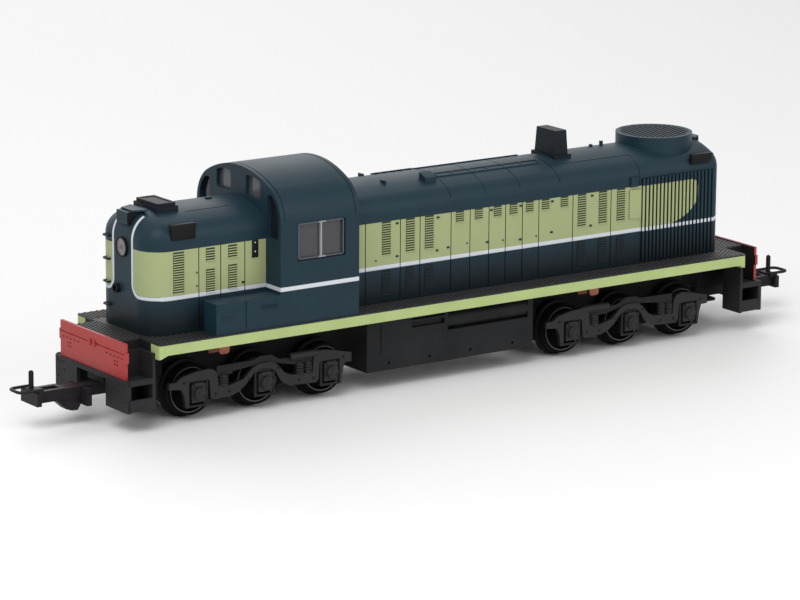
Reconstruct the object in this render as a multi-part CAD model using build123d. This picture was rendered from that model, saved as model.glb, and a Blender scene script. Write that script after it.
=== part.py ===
"""Model diesel locomotive, HO scale (1:87), with two three-axle trucks.

Frame: +X towards the long hood and its radiator, +Y to the left of that
direction, +Z up.  The drawing is made with z = 0 at the rail head; save()
lifts every piece by the flange depth, so that the flanges' lowest points lie
at z = 0 in the files.
"""
from build123d import *
from functools import cache
import math
import os

# ---------------------------------------------------------------- sizes (mm)
# track and wheels
FLANGE_DEPTH = 0.75
TREAD_DIA = 11.4
TREAD_WIDTH = 2.3
FLANGE_WIDTH = 0.7
BACK_TO_BACK = 14.4
RIM_THICK = 1.0
WEB_THICK = 1.1
AXLE_DIA = 2.0
AXLE_PITCH = 17.0
AXLE_CLEAR = 0.05

# deck and ends
DECK_TOP = 18.2
BAND_HEIGHT = 2.2
BAND_THICK = 0.8
DECK_HALF_WIDTH = 17.2
DECK_HALF_LENGTH = 79.8
DECK_THICK = 1.8
PLATFORM_HALF_LENGTH = 85.4
PLATFORM_HALF_WIDTH = 9.0
BAND_RETURN = 3.6
BAND_CORNER_DROP = 0.8
BAND_GUSSET = 2.0
TREAD_PLATE_THICK = 0.3

# pilots
PILOT_THICK = 0.9
PILOT_HALF_WIDTH = 15.0
PILOT_TOP = 10.9
PILOT_BOTTOM = 4.0
PILOT_OUTER_X = 86.5
SHEET_HALF_WIDTH = 13.4
SHEET_TOP = 18.8
SHEET_THICK = 0.7
SHEET_GROOVE_DROP = 2.3
SHEET_CLIP_Y = 0.9
SHEET_LUG = dict(width=0.5, z0=14.6, z1=16.9)
POCKET_HALF_WIDTH = 6.0
POCKET_TOP = 9.9
STEP_TREADS = (4.2, 9.9)
STEP_LIP_HEIGHTS = (2.6, 1.2)
STEP_HALF_WIDTH = 15.3
STEP_INNER_Y = 9.7
SHEET_METAL = 0.7

# trucks: where each one swivels, and which way its brake cylinders lie
TRUCKS = (("front", -51.0, 1), ("rear", 49.0, -1))
SWIVEL_RADIUS = 2.5
SWIVEL_CLEAR = 0.05
GEAR_BLOCK = dict(half_length=21.3, half_width=5.6, z0=2.4, z1=12.6)
BOLSTER_RADIUS = 5.0
TRANSOM_X = (7.2, 9.1)
TRANSOM_Z = (5.2, 6.2)

# side frames: the wavy bar's upper edge and lower edge, x from the swivel pin and z
SIDEFRAME_Y = (12.45, 13.55)
WAVE_TOP = [
    (-24.3, 8.7), (-22.6, 8.7), (-21.1, 9.7), (-17.4, 10.5), (-14.4, 10.6), (-12.9, 10.2),
    (-12.2, 9.2), (-11.9, 6.4), (-9.0, 6.3), (-5.6, 7.1), (-3.2, 9.3), (-1.6, 10.0),
    (1.8, 10.0), (3.2, 9.1), (5.0, 7.1), (6.8, 6.3), (12.2, 6.2), (12.5, 9.2),
    (13.2, 10.3), (14.8, 10.8), (18.0, 10.3), (20.4, 9.7), (22.4, 9.3),
]
WAVE_BOTTOM = [
    (22.4, 7.3), (20.6, 7.2), (20.0, 5.2), (19.7, 2.7), (19.3, 2.7), (19.3, 8.4),
    (14.5, 8.4), (14.0, 8.0), (13.8, 4.4), (13.1, 3.8), (8.5, 3.95), (6.0, 4.2),
    (4.5, 5.0), (3.4, 6.4), (2.5, 8.0), (1.2, 8.7), (-1.4, 8.8), (-2.8, 8.3),
    (-3.9, 7.0), (-5.2, 5.7), (-6.8, 4.6), (-8.6, 3.95), (-13.2, 3.7), (-13.9, 4.4),
    (-14.2, 8.0), (-14.7, 8.4), (-19.4, 8.4), (-19.4, 2.7), (-20.1, 2.7), (-20.5, 5.3),
    (-21.3, 7.0), (-24.3, 7.3),
]
# the beam above the springs, drawn with the brake cylinder on its +x side
BEAM = [
    (-12.2, 8.7), (-8.2, 8.7), (-8.2, 9.2), (-3.0, 9.7), (3.0, 9.5), (7.6, 8.5),
    (12.4, 8.8), (12.4, 9.9), (4.2, 10.2), (3.3, 10.5), (2.3, 11.2), (1.5, 11.5),
    (-1.4, 11.5), (-2.2, 11.2), (-3.0, 10.9), (-12.2, 10.8),
]
BEAM_BACK = 0.35
PEDESTAL = dict(half=2.6, z0=2.6, z1=8.6, bar=0.5, y0=12.8, y1=13.25)
JOURNAL_BOX = dict(half=1.7, z0=3.7, z1=7.7, y1=13.7)
JOURNAL_CAP = dict(half=1.2, z0=7.2, z1=8.0, y1=13.9)
COVER_RADIUS = 1.35
COVER_Y = 14.55
COVER_BOSS = 0.6
# springs: x, radius
SPRINGS = ((-10.5, 1.15), (9.0, 1.05), (11.2, 1.0))
SPRING_Z = (6.1, 9.0)
SPRING_TURNS = 4
SPRING_WIRE = 0.36
CYLINDER_X = (6.5, 12.9, 15.5)
CYLINDER_Z = 10.3
CYLINDER_RADII = (0.85, 0.3)

# hoods
HOOD_HALF_WIDTH = 11.0
HOOD_TOP = 44.3
HOOD_CROWN_RADIUS = 19.5
HOOD_SHOULDER = 4.2
HOOD_WALL = 1.2
HOOD_END_X = 76.8
HOOD_END_CORNER = 2.6
HOOD_END_EDGE = 3.0
NOSE_X = 78.4
NOSE_CORNER = 5.4
NOSE_EDGE = 3.0

# cab
CAB_FRONT_X = -49.2
CAB_REAR_X = -28.9
CAB_HALF_WIDTH = 16.8
CAB_WALL = 1.0
CAB_END_WALL = 1.4
CAB_EAVE = 41.2
CAB_CROWN = 51.0
CAB_CROWN_RADIUS = 27.0
CAB_SHOULDER = 8.0
CAB_GROOVE_SET = 0.9
CAB_GROOVE_WIDTH = 0.25
CAB_GROOVE_DEPTH = 0.15
GLASS_THICK = 0.5
GLASS_INSET = 0.45
END_GLASS_INSET = 0.9

# window openings: one on each side, two pairs in each end wall (y and z ranges)
SIDE_WINDOW = dict(x0=-44.8, x1=-32.5, z0=32.2, z1=40.4)
END_WINDOWS = [((3.0, 8.7), (44.8, 49.3)), ((11.5, 15.7), (37.0, 46.4))]
END_WINDOW_CORNER = 0.5
END_WINDOW_BORDER = 0.9
FRAME_BAR = 0.25
FRAME_MIDDLE = 0.4
FRAME_CORNER = 0.5
FRAME_GAP = dict(rear=0.5, below=0.3)
FRAME_PROUD = 0.15

# louvre columns on the side of a hood, in mm along X and Z
SLAT_PITCH = 0.52
SLAT_PROUD = 0.28
SLAT_LOW = 0.05
SLAT_SLOPE = 0.55
TALL_COLUMN = (29.2, 36.7)
SHORT_COLUMN = (34.3, 36.7)
LOW_COLUMN = (20.3, 25.7)

# columns of louvres on each side of the long hood: x0, x1, z range
LONG_HOOD_LOUVRES = [(x, x + 2.3, column) for x in (-18.9, -12.5, -7.4, 35.0, 41.0, 46.2)
                     for column in (TALL_COLUMN, LOW_COLUMN)]
LONG_HOOD_LOUVRES += [(x, x + 2.1, SHORT_COLUMN) for x in (1.0, 6.2, 11.4, 15.8, 20.3, 24.8, 30.1)]
# columns of louvres on each side of the short hood: x0, x1, z range
SHORT_HOOD_LOUVRES = [
    (-72.6, -69.9, (27.4, 36.4)),
    (-64.4, -62.2, (33.6, 36.4)),
    (-64.4, -62.2, (26.7, 31.8)),
    (-58.8, -56.6, (33.6, 36.4)),
    (-58.8, -56.6, (26.9, 32.1)),
]

# upright seams between the doors of the long hood and of the short hood
LONG_HOOD_SEAMS = (-23.3, -14.0, -8.7, -0.3, 4.9, 10.1, 14.7, 19.4, 24.0, 33.6, 44.5)
SHORT_HOOD_SEAMS = (-66.2, -60.7, -54.6)
SEAM_WIDTH = 0.22
SEAM_DEPTH = 0.25
SEAM_Z = (19.0, 36.9)

# raised panels on each side of the long hood: x0, x1, z0, z1, how proud
SIDE_PANELS = [(49.7, 53.0, 29.3, 36.0, 0.3), (49.9, 52.0, 36.7, 39.0, 0.5)]
# small fittings on the long hood's roof: x, y, radius, height
ROOF_PEGS = [(48.4, 2.0, 0.45, 0.4), (51.4, 2.0, 0.45, 0.9)]
# small blocks on the roofs, one list for each hood: x0, x1, y0, y1, height
LONG_ROOF_LUGS = [(-14.3, -13.8, -5.2, -3.5, 0.1), (-14.3, -13.8, 3.5, 5.2, 0.1)]
SHORT_ROOF_LUGS = [(-57.2, -55.9, 0.0, 0.8, 0.4)]
# seams across the long hood's roof, and seams along both roofs: x0, x1, y
ROOF_SEAMS = (-0.4, 9.2, 18.7, 29.9)
LONG_ROOF_LINES = [(29.9, 52.6, 6.5)]
SHORT_ROOF_LINES = [(-66.0, -55.0, 5.3)]
ROOF_SEAM_DEPTH = 0.15
ROOF_SEAM_END = (52.6, 6.5, 11.5)

# radiator at the end of the long hood
RADIATOR = dict(x0=53.4, x1=74.4, z0=19.0, z1=38.4)
FIN_COUNT = 20
FIN_THICK = 0.55
FIN_PROUD = 0.5
FIN_BACK = 0.2

# roof pieces
FAN_X = 65.3
FAN_RADIUS = 8.9
FAN_WALL = 0.7
FAN_TOP = 46.4
FAN_BARS = 15
FAN_BAR = 0.45
FAN_BAR_ANGLE = 27.0
STACK_X = 35.5
STACK_TOP = 50.2
STACK_BASE = (3.8, 7.8)
STACK_RIM = (3.0, 7.2)

# pieces on the nose and their twins at the other end
NOSE_BOX = dict(x0=-72.75, x1=-67.35, half=4.75, top=44.95)
NOSE_LID_INSET = 0.45
NOSE_LID_TOP = 45.7
NOSE_LID_PANEL = dict(inset=1.0, depth=0.15)
# each visor: a plate that narrows to its front, over a block that fills the hood's edge
VISOR_TOP = 44.55
VISOR_THICK = 0.35
VISOR_HALF_WIDTHS = (3.5, 2.2)
VISOR_BLOCK = dict(half=2.2, z0=41.5, proud=0.1)
# how far along X each visor reaches from the middle of the locomotive
VISOR_SPANS = (("front", 74.2, 77.4), ("rear", 74.5, 76.9))
HEADLIGHT_Z = 36.4
HEADLIGHT_RADIUS = 2.2
HEADLIGHT_PROUD = 0.45
LENS_RADIUS = 1.85
SOCKET_Y = 2.0
SOCKET_Z = 27.1
SOCKET_RADIUS = 1.05
SOCKET_PROUD = 0.9
NUMBER_BOARD_X = ((-72.2, -66.8), (69.2, 74.0))
NUMBER_BOARD_Y = (6.5, 10.6)
NUMBER_BOARD_Z = (39.0, 41.8)
NUMBER_BOARD_LIP = 0.3

# walkway ladders along the long hood's roof, with the fittings in front of them
LADDER = dict(x0=0.0, x1=28.4, y0=3.2, y1=5.2, proud=0.3, floor=0.1, rail=0.35)
LADDER_CELLS = 6
ROOF_BLOCK = dict(x0=-4.4, x1=-1.4, y0=4.3, y1=6.8, proud=1.4)
ROOF_BUMPS = dict(x0=-10.9, pitch=2.2, length=1.4, count=5, y0=3.8, y1=5.2, proud=0.4)

# motor with its ballast frame inside the long hood
MOTOR = dict(x0=-22.0, x1=58.0, half=8.0, top=36.0)

# tank skirt between the trucks
TANK_X0 = -24.1
TANK_X1 = 21.2
TANK_HALF_WIDTH = 13.0
TANK_BOTTOM = 3.7
RESERVOIR_RADIUS = 2.1
NICHE = dict(x0=-2.4, x1=19.8, depth=2 * RESERVOIR_RADIUS + 0.2, z0=10.6)
RECESS = dict(x0=-12.1, x1=-3.3, depth=0.8, z0=12.4, z1=15.4)
RECESS_BAR = 0.5
SKIRT_NOTCH = dict(x1=-21.2, depth=1.5, z0=15.0)
SKIRT_SEAM = dict(x=-20.4, z0=7.6, z1=14.15)
SKIRT_HOLES = (-18.2, -7.2, 3.9, 15.5)
SKIRT_HOLE_Z = 5.3
SKIRT_HOLE = dict(radius=0.35, depth=0.5)

# equipment boxes on the walkway beside the short hood
EQUIPMENT_BOX = dict(x0=-65.5, z1=25.3, seam_x=-58.0)
# louvres on each box: x0, x1, z range
BOX_LOUVRES = [(-64.1, -61.3, (22.0, 23.2)), (-54.0, -49.9, (22.9, 24.2))]

# grab irons at one corner of each hood's end
GRAB_HEIGHTS = (22.8, 27.8, 32.85, 37.9)
GRAB_Y = 6.1
GRAB_WIDTH = 2.0
GRAB_REACH = 0.6
GRAB_WIRE = 0.25

# couplers
COUPLER_PIVOT_X = 79.0
COUPLER_PIN_RADIUS = 1.0
COUPLER_PIN_CLEAR = 0.05
COUPLER_HEIGHT = 6.6
SHANK_HALF_WIDTH = 1.7
SHANK_HALF_HEIGHT = 1.2
HEAD_X = 100.6
BUFFER_HALF_WIDTH = 3.5
BUFFER_THICK = 1.1
BUFFER_Z = (5.2, 8.0)
BOW_HALF_WIDTH = 2.3
BOW_END_X = 105.2
BOW_Z = 8.5
BOW_WIRE = 0.35
HOOK_RADIUS = 0.55
HOOK_TOP = 12.5

# contact strips that stand out over the wheels, x from the swivel pin
CONTACT_X = (-9.6, -7.0)
CONTACT_REACH = 10.2
CONTACT_Z = (11.8, 14.0)
CONTACT_TAB = 1.6
CONTACT_THICK = 0.25


# ------------------------------------------------------------------- helpers
def slab(x0, x1, y0, y1, z0, z1):
    """A box given by its limits along the three axes."""
    centre = ((x0 + x1) / 2, (y0 + y1) / 2, (z0 + z1) / 2)
    return Pos(*centre) * Box(abs(x1 - x0), abs(y1 - y0), abs(z1 - z0))


def other_side(shape):
    """The same piece on the other side of the track's centre line."""
    return mirror(shape, about=Plane.XZ)


def other_end(shape):
    """The same piece at the other end of the locomotive."""
    return mirror(shape, about=Plane.YZ)


def bent_wire(points, radius, bend):
    """A round wire along a line of points, with its corners bent round."""
    path = FilletPolyline(*points, radius=bend)
    section = Plane(origin=path @ 0, z_dir=path % 0) * Circle(radius)
    return sweep(section, path=path)


def rod(start, end, radius):
    """A round bar between two points."""
    a, b = Vector(*start), Vector(*end)
    plane = Plane(origin=a, z_dir=(b - a).normalized())
    return extrude(plane * Circle(radius), (b - a).length)


def along_x(face_points, x0, x1):
    """Extrude a closed outline of (y, z) points from x0 to x1."""
    outline = Plane.YZ * make_face(Polyline(*face_points, close=True))
    return Pos(x0, 0, 0) * extrude(outline, x1 - x0)


def along_y(face_points, y0, y1):
    """Extrude a closed outline of (x, z) points from y0 to y1."""
    outline = Plane.XZ * make_face(Polyline(*face_points, close=True))
    return Pos(0, y1, 0) * extrude(outline, y1 - y0)


def roof_shell(section, x0, x1, depth, beyond=1.0):
    """The outer layer of a hood or cab between x0 and x1, for cutting grooves."""
    outside = Pos(x0, 0, 0) * extrude(Plane.YZ * section(-beyond), x1 - x0)
    return outside - Pos(x0 - 1, 0, 0) * extrude(Plane.YZ * section(depth), x1 - x0 + 2)


def save(name, *shapes):
    """Write one sub-part, lifted so that z = 0 is at the flanges' lowest points."""
    solids = [solid for shape in shapes for solid in shape.solids()]
    lifted = [Pos(0, 0, FLANGE_DEPTH) * solid for solid in solids]
    whole = lifted[0] if len(lifted) == 1 else Compound(children=lifted)
    export_step(whole, f"parts/{name}.step")


# ----------------------------------------------------------- deck and its ends
def deck():
    inner_length = DECK_HALF_LENGTH - BAND_THICK
    inner_width = DECK_HALF_WIDTH - BAND_THICK
    between = DECK_HALF_WIDTH - BAND_RETURN
    z0 = DECK_TOP - DECK_THICK
    plate = slab(-inner_length, inner_length, -inner_width, inner_width, z0, DECK_TOP)
    plate += slab(-DECK_HALF_LENGTH, DECK_HALF_LENGTH, -between, between, z0, DECK_TOP)
    plate += slab(-PLATFORM_HALF_LENGTH, PLATFORM_HALF_LENGTH,
                  -PLATFORM_HALF_WIDTH, PLATFORM_HALF_WIDTH, z0, DECK_TOP)
    for _, truck_x, _ in TRUCKS:
        bore = Cylinder(SWIVEL_RADIUS + SWIVEL_CLEAR, 3 * DECK_THICK)
        plate -= Pos(truck_x, 0, DECK_TOP) * bore
    return plate


def sill_bands():
    """The light bands along both edges of the deck, with a deeper return at each corner."""
    z0 = DECK_TOP - BAND_HEIGHT
    low = z0 - BAND_CORNER_DROP
    length, width = DECK_HALF_LENGTH, DECK_HALF_WIDTH
    band = slab(-length, length, -width, -width + BAND_THICK, low, DECK_TOP)
    for end in (-1, 1):
        band += slab(end * (length - BAND_THICK), end * length, -width, -width + BAND_RETURN, low, DECK_TOP)
    band = fillet(band.edges().filter_by(Axis.Z).group_by(Axis.Y)[0], 0.6)
    slope = length - BAND_GUSSET
    below = [(length, low - 1), (length, low), (slope, z0), (-slope, z0), (-length, low), (-length, low - 1)]
    band -= along_y(below, -width - 1, -width + BAND_THICK)
    return band, other_side(band)


def walkway_treads():
    """Thin tread plate on the deck and its platforms, cut out around the superstructure."""
    z0, z1 = DECK_TOP, DECK_TOP + TREAD_PLATE_THICK
    plate = slab(-DECK_HALF_LENGTH, DECK_HALF_LENGTH, -DECK_HALF_WIDTH, DECK_HALF_WIDTH, z0, z1)
    plate += slab(-PLATFORM_HALF_LENGTH, PLATFORM_HALF_LENGTH,
                  -PLATFORM_HALF_WIDTH, PLATFORM_HALF_WIDTH, z0, z1)
    outer = plate.edges().filter_by(Axis.Z).group_by(Axis.Y)
    plate = fillet(outer[0] + outer[-1], 0.6)
    plate -= short_hood_plain()
    plate -= long_hood_plain()
    plate -= slab(CAB_FRONT_X, CAB_REAR_X, -CAB_HALF_WIDTH, CAB_HALF_WIDTH, z0 - 1, z1 + 1)
    box = equipment_box()
    return plate - box - other_side(box)


# -------------------------------------------------------------------- pilots
def pilot(end):
    """Grey lower plate with a step well at each corner, at the end given."""
    x0, x1 = PILOT_OUTER_X - PILOT_THICK, PILOT_OUTER_X
    plate = slab(x0, x1, -PILOT_HALF_WIDTH, PILOT_HALF_WIDTH, PILOT_BOTTOM, PILOT_TOP)
    plate -= slab(x0 - 1, x1 + 1, -POCKET_HALF_WIDTH, POCKET_HALF_WIDTH, PILOT_BOTTOM - 1, POCKET_TOP)
    well = step_well()
    shape = plate + well + other_side(well)
    return shape if end > 0 else other_end(shape)


def step_well():
    """Two treads with lips between an inner wall, the pilot plate and a rear post."""
    x_rear = DECK_HALF_LENGTH
    x_front = PILOT_OUTER_X - PILOT_THICK / 2
    inner = slab(x_rear, x_front, STEP_INNER_Y - SHEET_METAL, STEP_INNER_Y, PILOT_BOTTOM, PILOT_TOP)
    inner += slab(x_rear, PLATFORM_HALF_LENGTH, STEP_INNER_Y - SHEET_METAL, STEP_INNER_Y,
                  PILOT_BOTTOM, DECK_TOP - DECK_THICK)
    well = inner + slab(x_rear, x_rear + SHEET_METAL, STEP_INNER_Y - SHEET_METAL,
                        STEP_HALF_WIDTH, PILOT_BOTTOM, DECK_TOP - DECK_THICK)
    for tread_z, lip in zip(STEP_TREADS, STEP_LIP_HEIGHTS):
        well += slab(x_rear, x_front, STEP_INNER_Y - SHEET_METAL, STEP_HALF_WIDTH, tread_z, tread_z + SHEET_METAL)
        well += slab(x_rear, x_front, STEP_HALF_WIDTH - SHEET_METAL, STEP_HALF_WIDTH, tread_z, tread_z + lip)
    return well


def end_sheet(end):
    """Red upper sheet standing in front of the end platform."""
    x0, x1 = PLATFORM_HALF_LENGTH, PLATFORM_HALF_LENGTH + SHEET_THICK
    sheet = slab(x0, x1, -SHEET_HALF_WIDTH, SHEET_HALF_WIDTH, PILOT_TOP, SHEET_TOP)
    groove_z = SHEET_TOP - SHEET_GROOVE_DROP
    sheet -= slab(x1 - 0.2, x1 + 1, -SHEET_HALF_WIDTH - 1, SHEET_HALF_WIDTH + 1, groove_z - 0.15, groove_z + 0.15)
    for side in (-1, 1):
        clip_y = side * SHEET_CLIP_Y
        sheet += slab(x1 - 0.3, x1 + 0.25, clip_y - 0.35, clip_y + 0.35, groove_z - 0.7, groove_z + 0.7)
        edge = side * SHEET_HALF_WIDTH
        sheet += slab(x0, x1, edge, edge + side * SHEET_LUG["width"], SHEET_LUG["z0"], SHEET_LUG["z1"])
    return sheet if end > 0 else other_end(sheet)


def coupler_box(end):
    """Housing under the platform that carries the coupler's pin."""
    x0 = COUPLER_PIVOT_X - 2.2
    low = COUPLER_HEIGHT - SHANK_HALF_HEIGHT - 0.2
    high = COUPLER_HEIGHT + SHANK_HALF_HEIGHT + 0.2
    half = 2 * SHANK_HALF_WIDTH
    box = slab(x0, PLATFORM_HALF_LENGTH, -half, half, high, DECK_TOP - DECK_THICK)
    box += slab(x0, COUPLER_PIVOT_X + COUPLER_PIN_RADIUS + 2.2, -half, half, low - 0.7, low)
    box += Pos(COUPLER_PIVOT_X, 0, COUPLER_HEIGHT) * Cylinder(COUPLER_PIN_RADIUS, high - low + 0.8)
    return box if end > 0 else other_end(box)


def coupler(end):
    """Shank with its stop plate and keel, buffer bar, wire bow and upright hook."""
    z0, z1 = COUPLER_HEIGHT - SHANK_HALF_HEIGHT, COUPLER_HEIGHT + SHANK_HALF_HEIGHT
    body = slab(COUPLER_PIVOT_X, HEAD_X, -SHANK_HALF_WIDTH, SHANK_HALF_WIDTH, z0, z1)
    body += Pos(COUPLER_PIVOT_X, 0, COUPLER_HEIGHT) * Cylinder(SHANK_HALF_WIDTH, z1 - z0)
    body += along_y([(88.8, z0 + 0.1), (96.0, z0 + 0.1), (93.4, 3.1), (92.0, 2.6), (90.6, 2.6)], -1.3, 1.3)
    body += slab(88.8, 90.0, -4.2, 4.2, 3.9, 7.6)
    body += slab(94.0, HEAD_X, -2.3, 2.3, z0 + 0.4, z1 + 0.3)
    body -= slab(95.0, 98.4, -1.2, 1.2, z1 - 0.2, z1 + 1)
    bore = Cylinder(COUPLER_PIN_RADIUS + COUPLER_PIN_CLEAR, 9)
    body -= Pos(COUPLER_PIVOT_X, 0, COUPLER_HEIGHT) * bore
    body += slab(HEAD_X, HEAD_X + BUFFER_THICK, -BUFFER_HALF_WIDTH, BUFFER_HALF_WIDTH, *BUFFER_Z)
    start_x = HEAD_X - 1.0
    body += slab(start_x, HEAD_X + BUFFER_THICK, -BOW_HALF_WIDTH - 0.5, BOW_HALF_WIDTH + 0.5, 7.6, BOW_Z)
    body += bent_wire([(start_x, -BOW_HALF_WIDTH, BOW_Z), (BOW_END_X, -BOW_HALF_WIDTH, BOW_Z),
                       (BOW_END_X, BOW_HALF_WIDTH, BOW_Z), (start_x, BOW_HALF_WIDTH, BOW_Z)], BOW_WIRE, 1.2)
    hook = rod((HEAD_X + HOOK_RADIUS, 0, 7.8), (HEAD_X + HOOK_RADIUS, 0, HOOK_TOP - HOOK_RADIUS), HOOK_RADIUS)
    body += hook + Pos(HEAD_X + HOOK_RADIUS, 0, HOOK_TOP - HOOK_RADIUS) * Sphere(HOOK_RADIUS)
    return body if end > 0 else other_end(body)


# ------------------------------------------------------- underframe equipment
def tank_skirt():
    """Skirted tank with a niche for the reservoir and a barred recess on each side."""
    z1 = DECK_TOP - DECK_THICK
    wall = TANK_HALF_WIDTH
    tank = slab(TANK_X0, TANK_X1, -wall, wall, TANK_BOTTOM, z1)
    niche = slab(NICHE["x0"], NICHE["x1"], -wall - 1, -wall + NICHE["depth"], NICHE["z0"], z1)
    recess = slab(RECESS["x0"], RECESS["x1"], -wall - 1, -wall + RECESS["depth"], RECESS["z0"], RECESS["z1"])
    notch = slab(TANK_X0 - 1, SKIRT_NOTCH["x1"], -wall - 1, -wall + SKIRT_NOTCH["depth"], SKIRT_NOTCH["z0"], z1 + 1)
    seam_x = SKIRT_SEAM["x"]
    seam = slab(seam_x - SEAM_WIDTH / 2, seam_x + SEAM_WIDTH / 2, -wall - 1, -wall + SEAM_DEPTH,
                SKIRT_SEAM["z0"], SKIRT_SEAM["z1"])
    holes = [rod((x, -wall - 1, SKIRT_HOLE_Z), (x, -wall + SKIRT_HOLE["depth"], SKIRT_HOLE_Z), SKIRT_HOLE["radius"])
             for x in SKIRT_HOLES]
    middle = (RECESS["z0"] + RECESS["z1"]) / 2
    bar = slab(RECESS["x0"], RECESS["x1"], -wall, -wall + RECESS["depth"],
               middle - RECESS_BAR / 2, middle + RECESS_BAR / 2)
    for cutter in (niche, recess, notch, seam, *holes):
        tank = tank - cutter - other_side(cutter)
    return tank + bar + other_side(bar)


def reservoirs():
    """Air reservoir lying in the skirt's niche, one on each side."""
    y = -TANK_HALF_WIDTH + RESERVOIR_RADIUS
    z = NICHE["z0"] + RESERVOIR_RADIUS
    shape = rod((NICHE["x0"], y, z), (NICHE["x1"], y, z), RESERVOIR_RADIUS)
    return shape, other_side(shape)


# --------------------------------------------------------------------- trucks
def wheelset(x):
    """One axle with its two wheels."""
    inner = BACK_TO_BACK / 2
    tread = TREAD_DIA / 2
    flange = tread + FLANGE_DEPTH
    outer = inner + FLANGE_WIDTH + TREAD_WIDTH
    web_in, web_out = inner + 0.5, inner + 0.5 + WEB_THICK
    bore = tread - RIM_THICK
    points = [
        (0, inner - 1.2), (1.6, inner - 1.2), (1.6, web_in), (bore, web_in), (bore, inner),
        (flange - 0.2, inner), (flange, inner + 0.2), (flange - 0.1, inner + FLANGE_WIDTH),
        (tread, inner + FLANGE_WIDTH + 0.15), (tread - 0.1, outer), (bore, outer),
        (bore, web_out), (1.5, web_out), (1.5, outer - 0.3), (0, outer - 0.3),
    ]
    profile = make_face(Polyline(*points, close=True))
    wheel = revolve(profile, Axis.Y)
    axle = Rot(90, 0, 0) * Cylinder(AXLE_DIA / 2, 2 * inner)
    whole = wheel + mirror(wheel, about=Plane.XZ) + axle
    return Pos(x, 0, tread) * whole


def truck_frame(x):
    """Gear block between the wheels, with its bolster, swivel pin and transoms."""
    length, width, z0, z1 = (GEAR_BLOCK[k] for k in ("half_length", "half_width", "z0", "z1"))
    block = slab(-length, length, -width, width, z0, z1)
    pin_top = DECK_TOP - 0.3
    block += Pos(0, 0, (z1 + pin_top) / 2) * Cylinder(SWIVEL_RADIUS, pin_top - z1)
    seat_top = DECK_TOP - DECK_THICK - 0.1
    block += Pos(0, 0, (z1 + seat_top) / 2) * Cylinder(BOLSTER_RADIUS, seat_top - z1)
    reach = SIDEFRAME_Y[0]
    for side in (-1, 1):
        block += slab(side * TRANSOM_X[0], side * TRANSOM_X[1], -reach, reach, *TRANSOM_Z)
    for axle_x in (-AXLE_PITCH, 0, AXLE_PITCH):
        bore = Rot(90, 0, 0) * Cylinder(AXLE_DIA / 2 + AXLE_CLEAR, 20)
        block -= Pos(axle_x, 0, TREAD_DIA / 2) * bore
    return Pos(x, 0, 0) * block


def contact_strips(x):
    """Spring-metal strips that stand out over the wheels of a truck."""
    strips = []
    z0, z1 = CONTACT_Z
    for side in (-1, 1):
        near, far = GEAR_BLOCK["half_width"] * side, CONTACT_REACH * side
        flat = slab(*CONTACT_X, near, far, z1 - CONTACT_THICK, z1)
        foot = slab(*CONTACT_X, near, near + side * CONTACT_THICK, z0, z1)
        tab = slab(*CONTACT_X, far, far - side * CONTACT_THICK, z1 - CONTACT_TAB, z1)
        tab = fillet(tab.edges().filter_by(Axis.Y).group_by(Axis.Z)[0], CONTACT_TAB / 2)
        strips.append(Pos(x, 0, 0) * (flat + foot + tab))
    return strips


def journal(axle_x):
    """Pedestal with a bottom bar, journal box and round cover in front of an axle's end."""
    inner = SIDEFRAME_Y[0]
    half, z0, z1, bar, y0, y1 = (PEDESTAL[k] for k in ("half", "z0", "z1", "bar", "y0", "y1"))
    jaws = slab(axle_x - half, axle_x + half, y0, y1, z0, z1)
    jaws -= slab(axle_x - half + bar, axle_x + half - bar, y0 - 1, y1 + 1, z0 + bar, z1 - bar)
    back = slab(axle_x - half, axle_x + half, inner, y0, z0 + 2 * bar, z1)
    half, z0, z1, y1 = (JOURNAL_BOX[k] for k in ("half", "z0", "z1", "y1"))
    box = slab(axle_x - half, axle_x + half, inner, y1, z0, z1)
    half, z0, z1, y1 = (JOURNAL_CAP[k] for k in ("half", "z0", "z1", "y1"))
    cap = slab(axle_x - half, axle_x + half, inner, y1, z0, z1)
    centre_z = TREAD_DIA / 2
    cover = rod((axle_x, inner, centre_z), (axle_x, COVER_Y, centre_z), COVER_RADIUS)
    boss = rod((axle_x, inner, centre_z), (axle_x, COVER_Y + 0.15, centre_z), COVER_BOSS)
    return jaws + back + box + cap + cover + boss


def spring(x, radius):
    """A coil spring drawn as rings round a core."""
    y = sum(SIDEFRAME_Y) / 2
    z0, z1 = SPRING_Z
    coil = Pos(x, y, (z0 + z1) / 2) * Cylinder(radius - SPRING_WIRE, z1 - z0)
    pitch = (z1 - z0) / (SPRING_TURNS + 1)
    for k in range(SPRING_TURNS):
        coil += Pos(x, y, z0 + (k + 1) * pitch) * Cylinder(radius, SPRING_WIRE)
    return coil


@cache
def sideframe_drawing(inward):
    """Moulded side frame: wavy bar, journal boxes, springs, beam and brake cylinder."""
    y0, y1 = SIDEFRAME_Y
    frame = along_y(WAVE_TOP + WAVE_BOTTOM, y0, y1)
    for axle_x in (-AXLE_PITCH, 0, AXLE_PITCH):
        frame += journal(axle_x)
    for spring_x, radius in SPRINGS:
        frame += spring(spring_x, radius)
    beam = along_y(BEAM, y0, y1 - BEAM_BACK)
    start, shoulder, tip = CYLINDER_X
    middle = sum(SIDEFRAME_Y) / 2
    radius, tip_radius = CYLINDER_RADII
    beam += rod((start, middle, CYLINDER_Z), (shoulder, middle, CYLINDER_Z), radius)
    taper = Rot(0, 90, 0) * Cone(radius, tip_radius, tip - shoulder)
    beam += Pos((shoulder + tip) / 2, middle, CYLINDER_Z) * taper
    return frame + (beam if inward > 0 else other_end(beam))


def sideframe(x, side, inward):
    frame = Pos(x, 0, 0) * sideframe_drawing(inward)
    return frame if side > 0 else other_side(frame)


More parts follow.
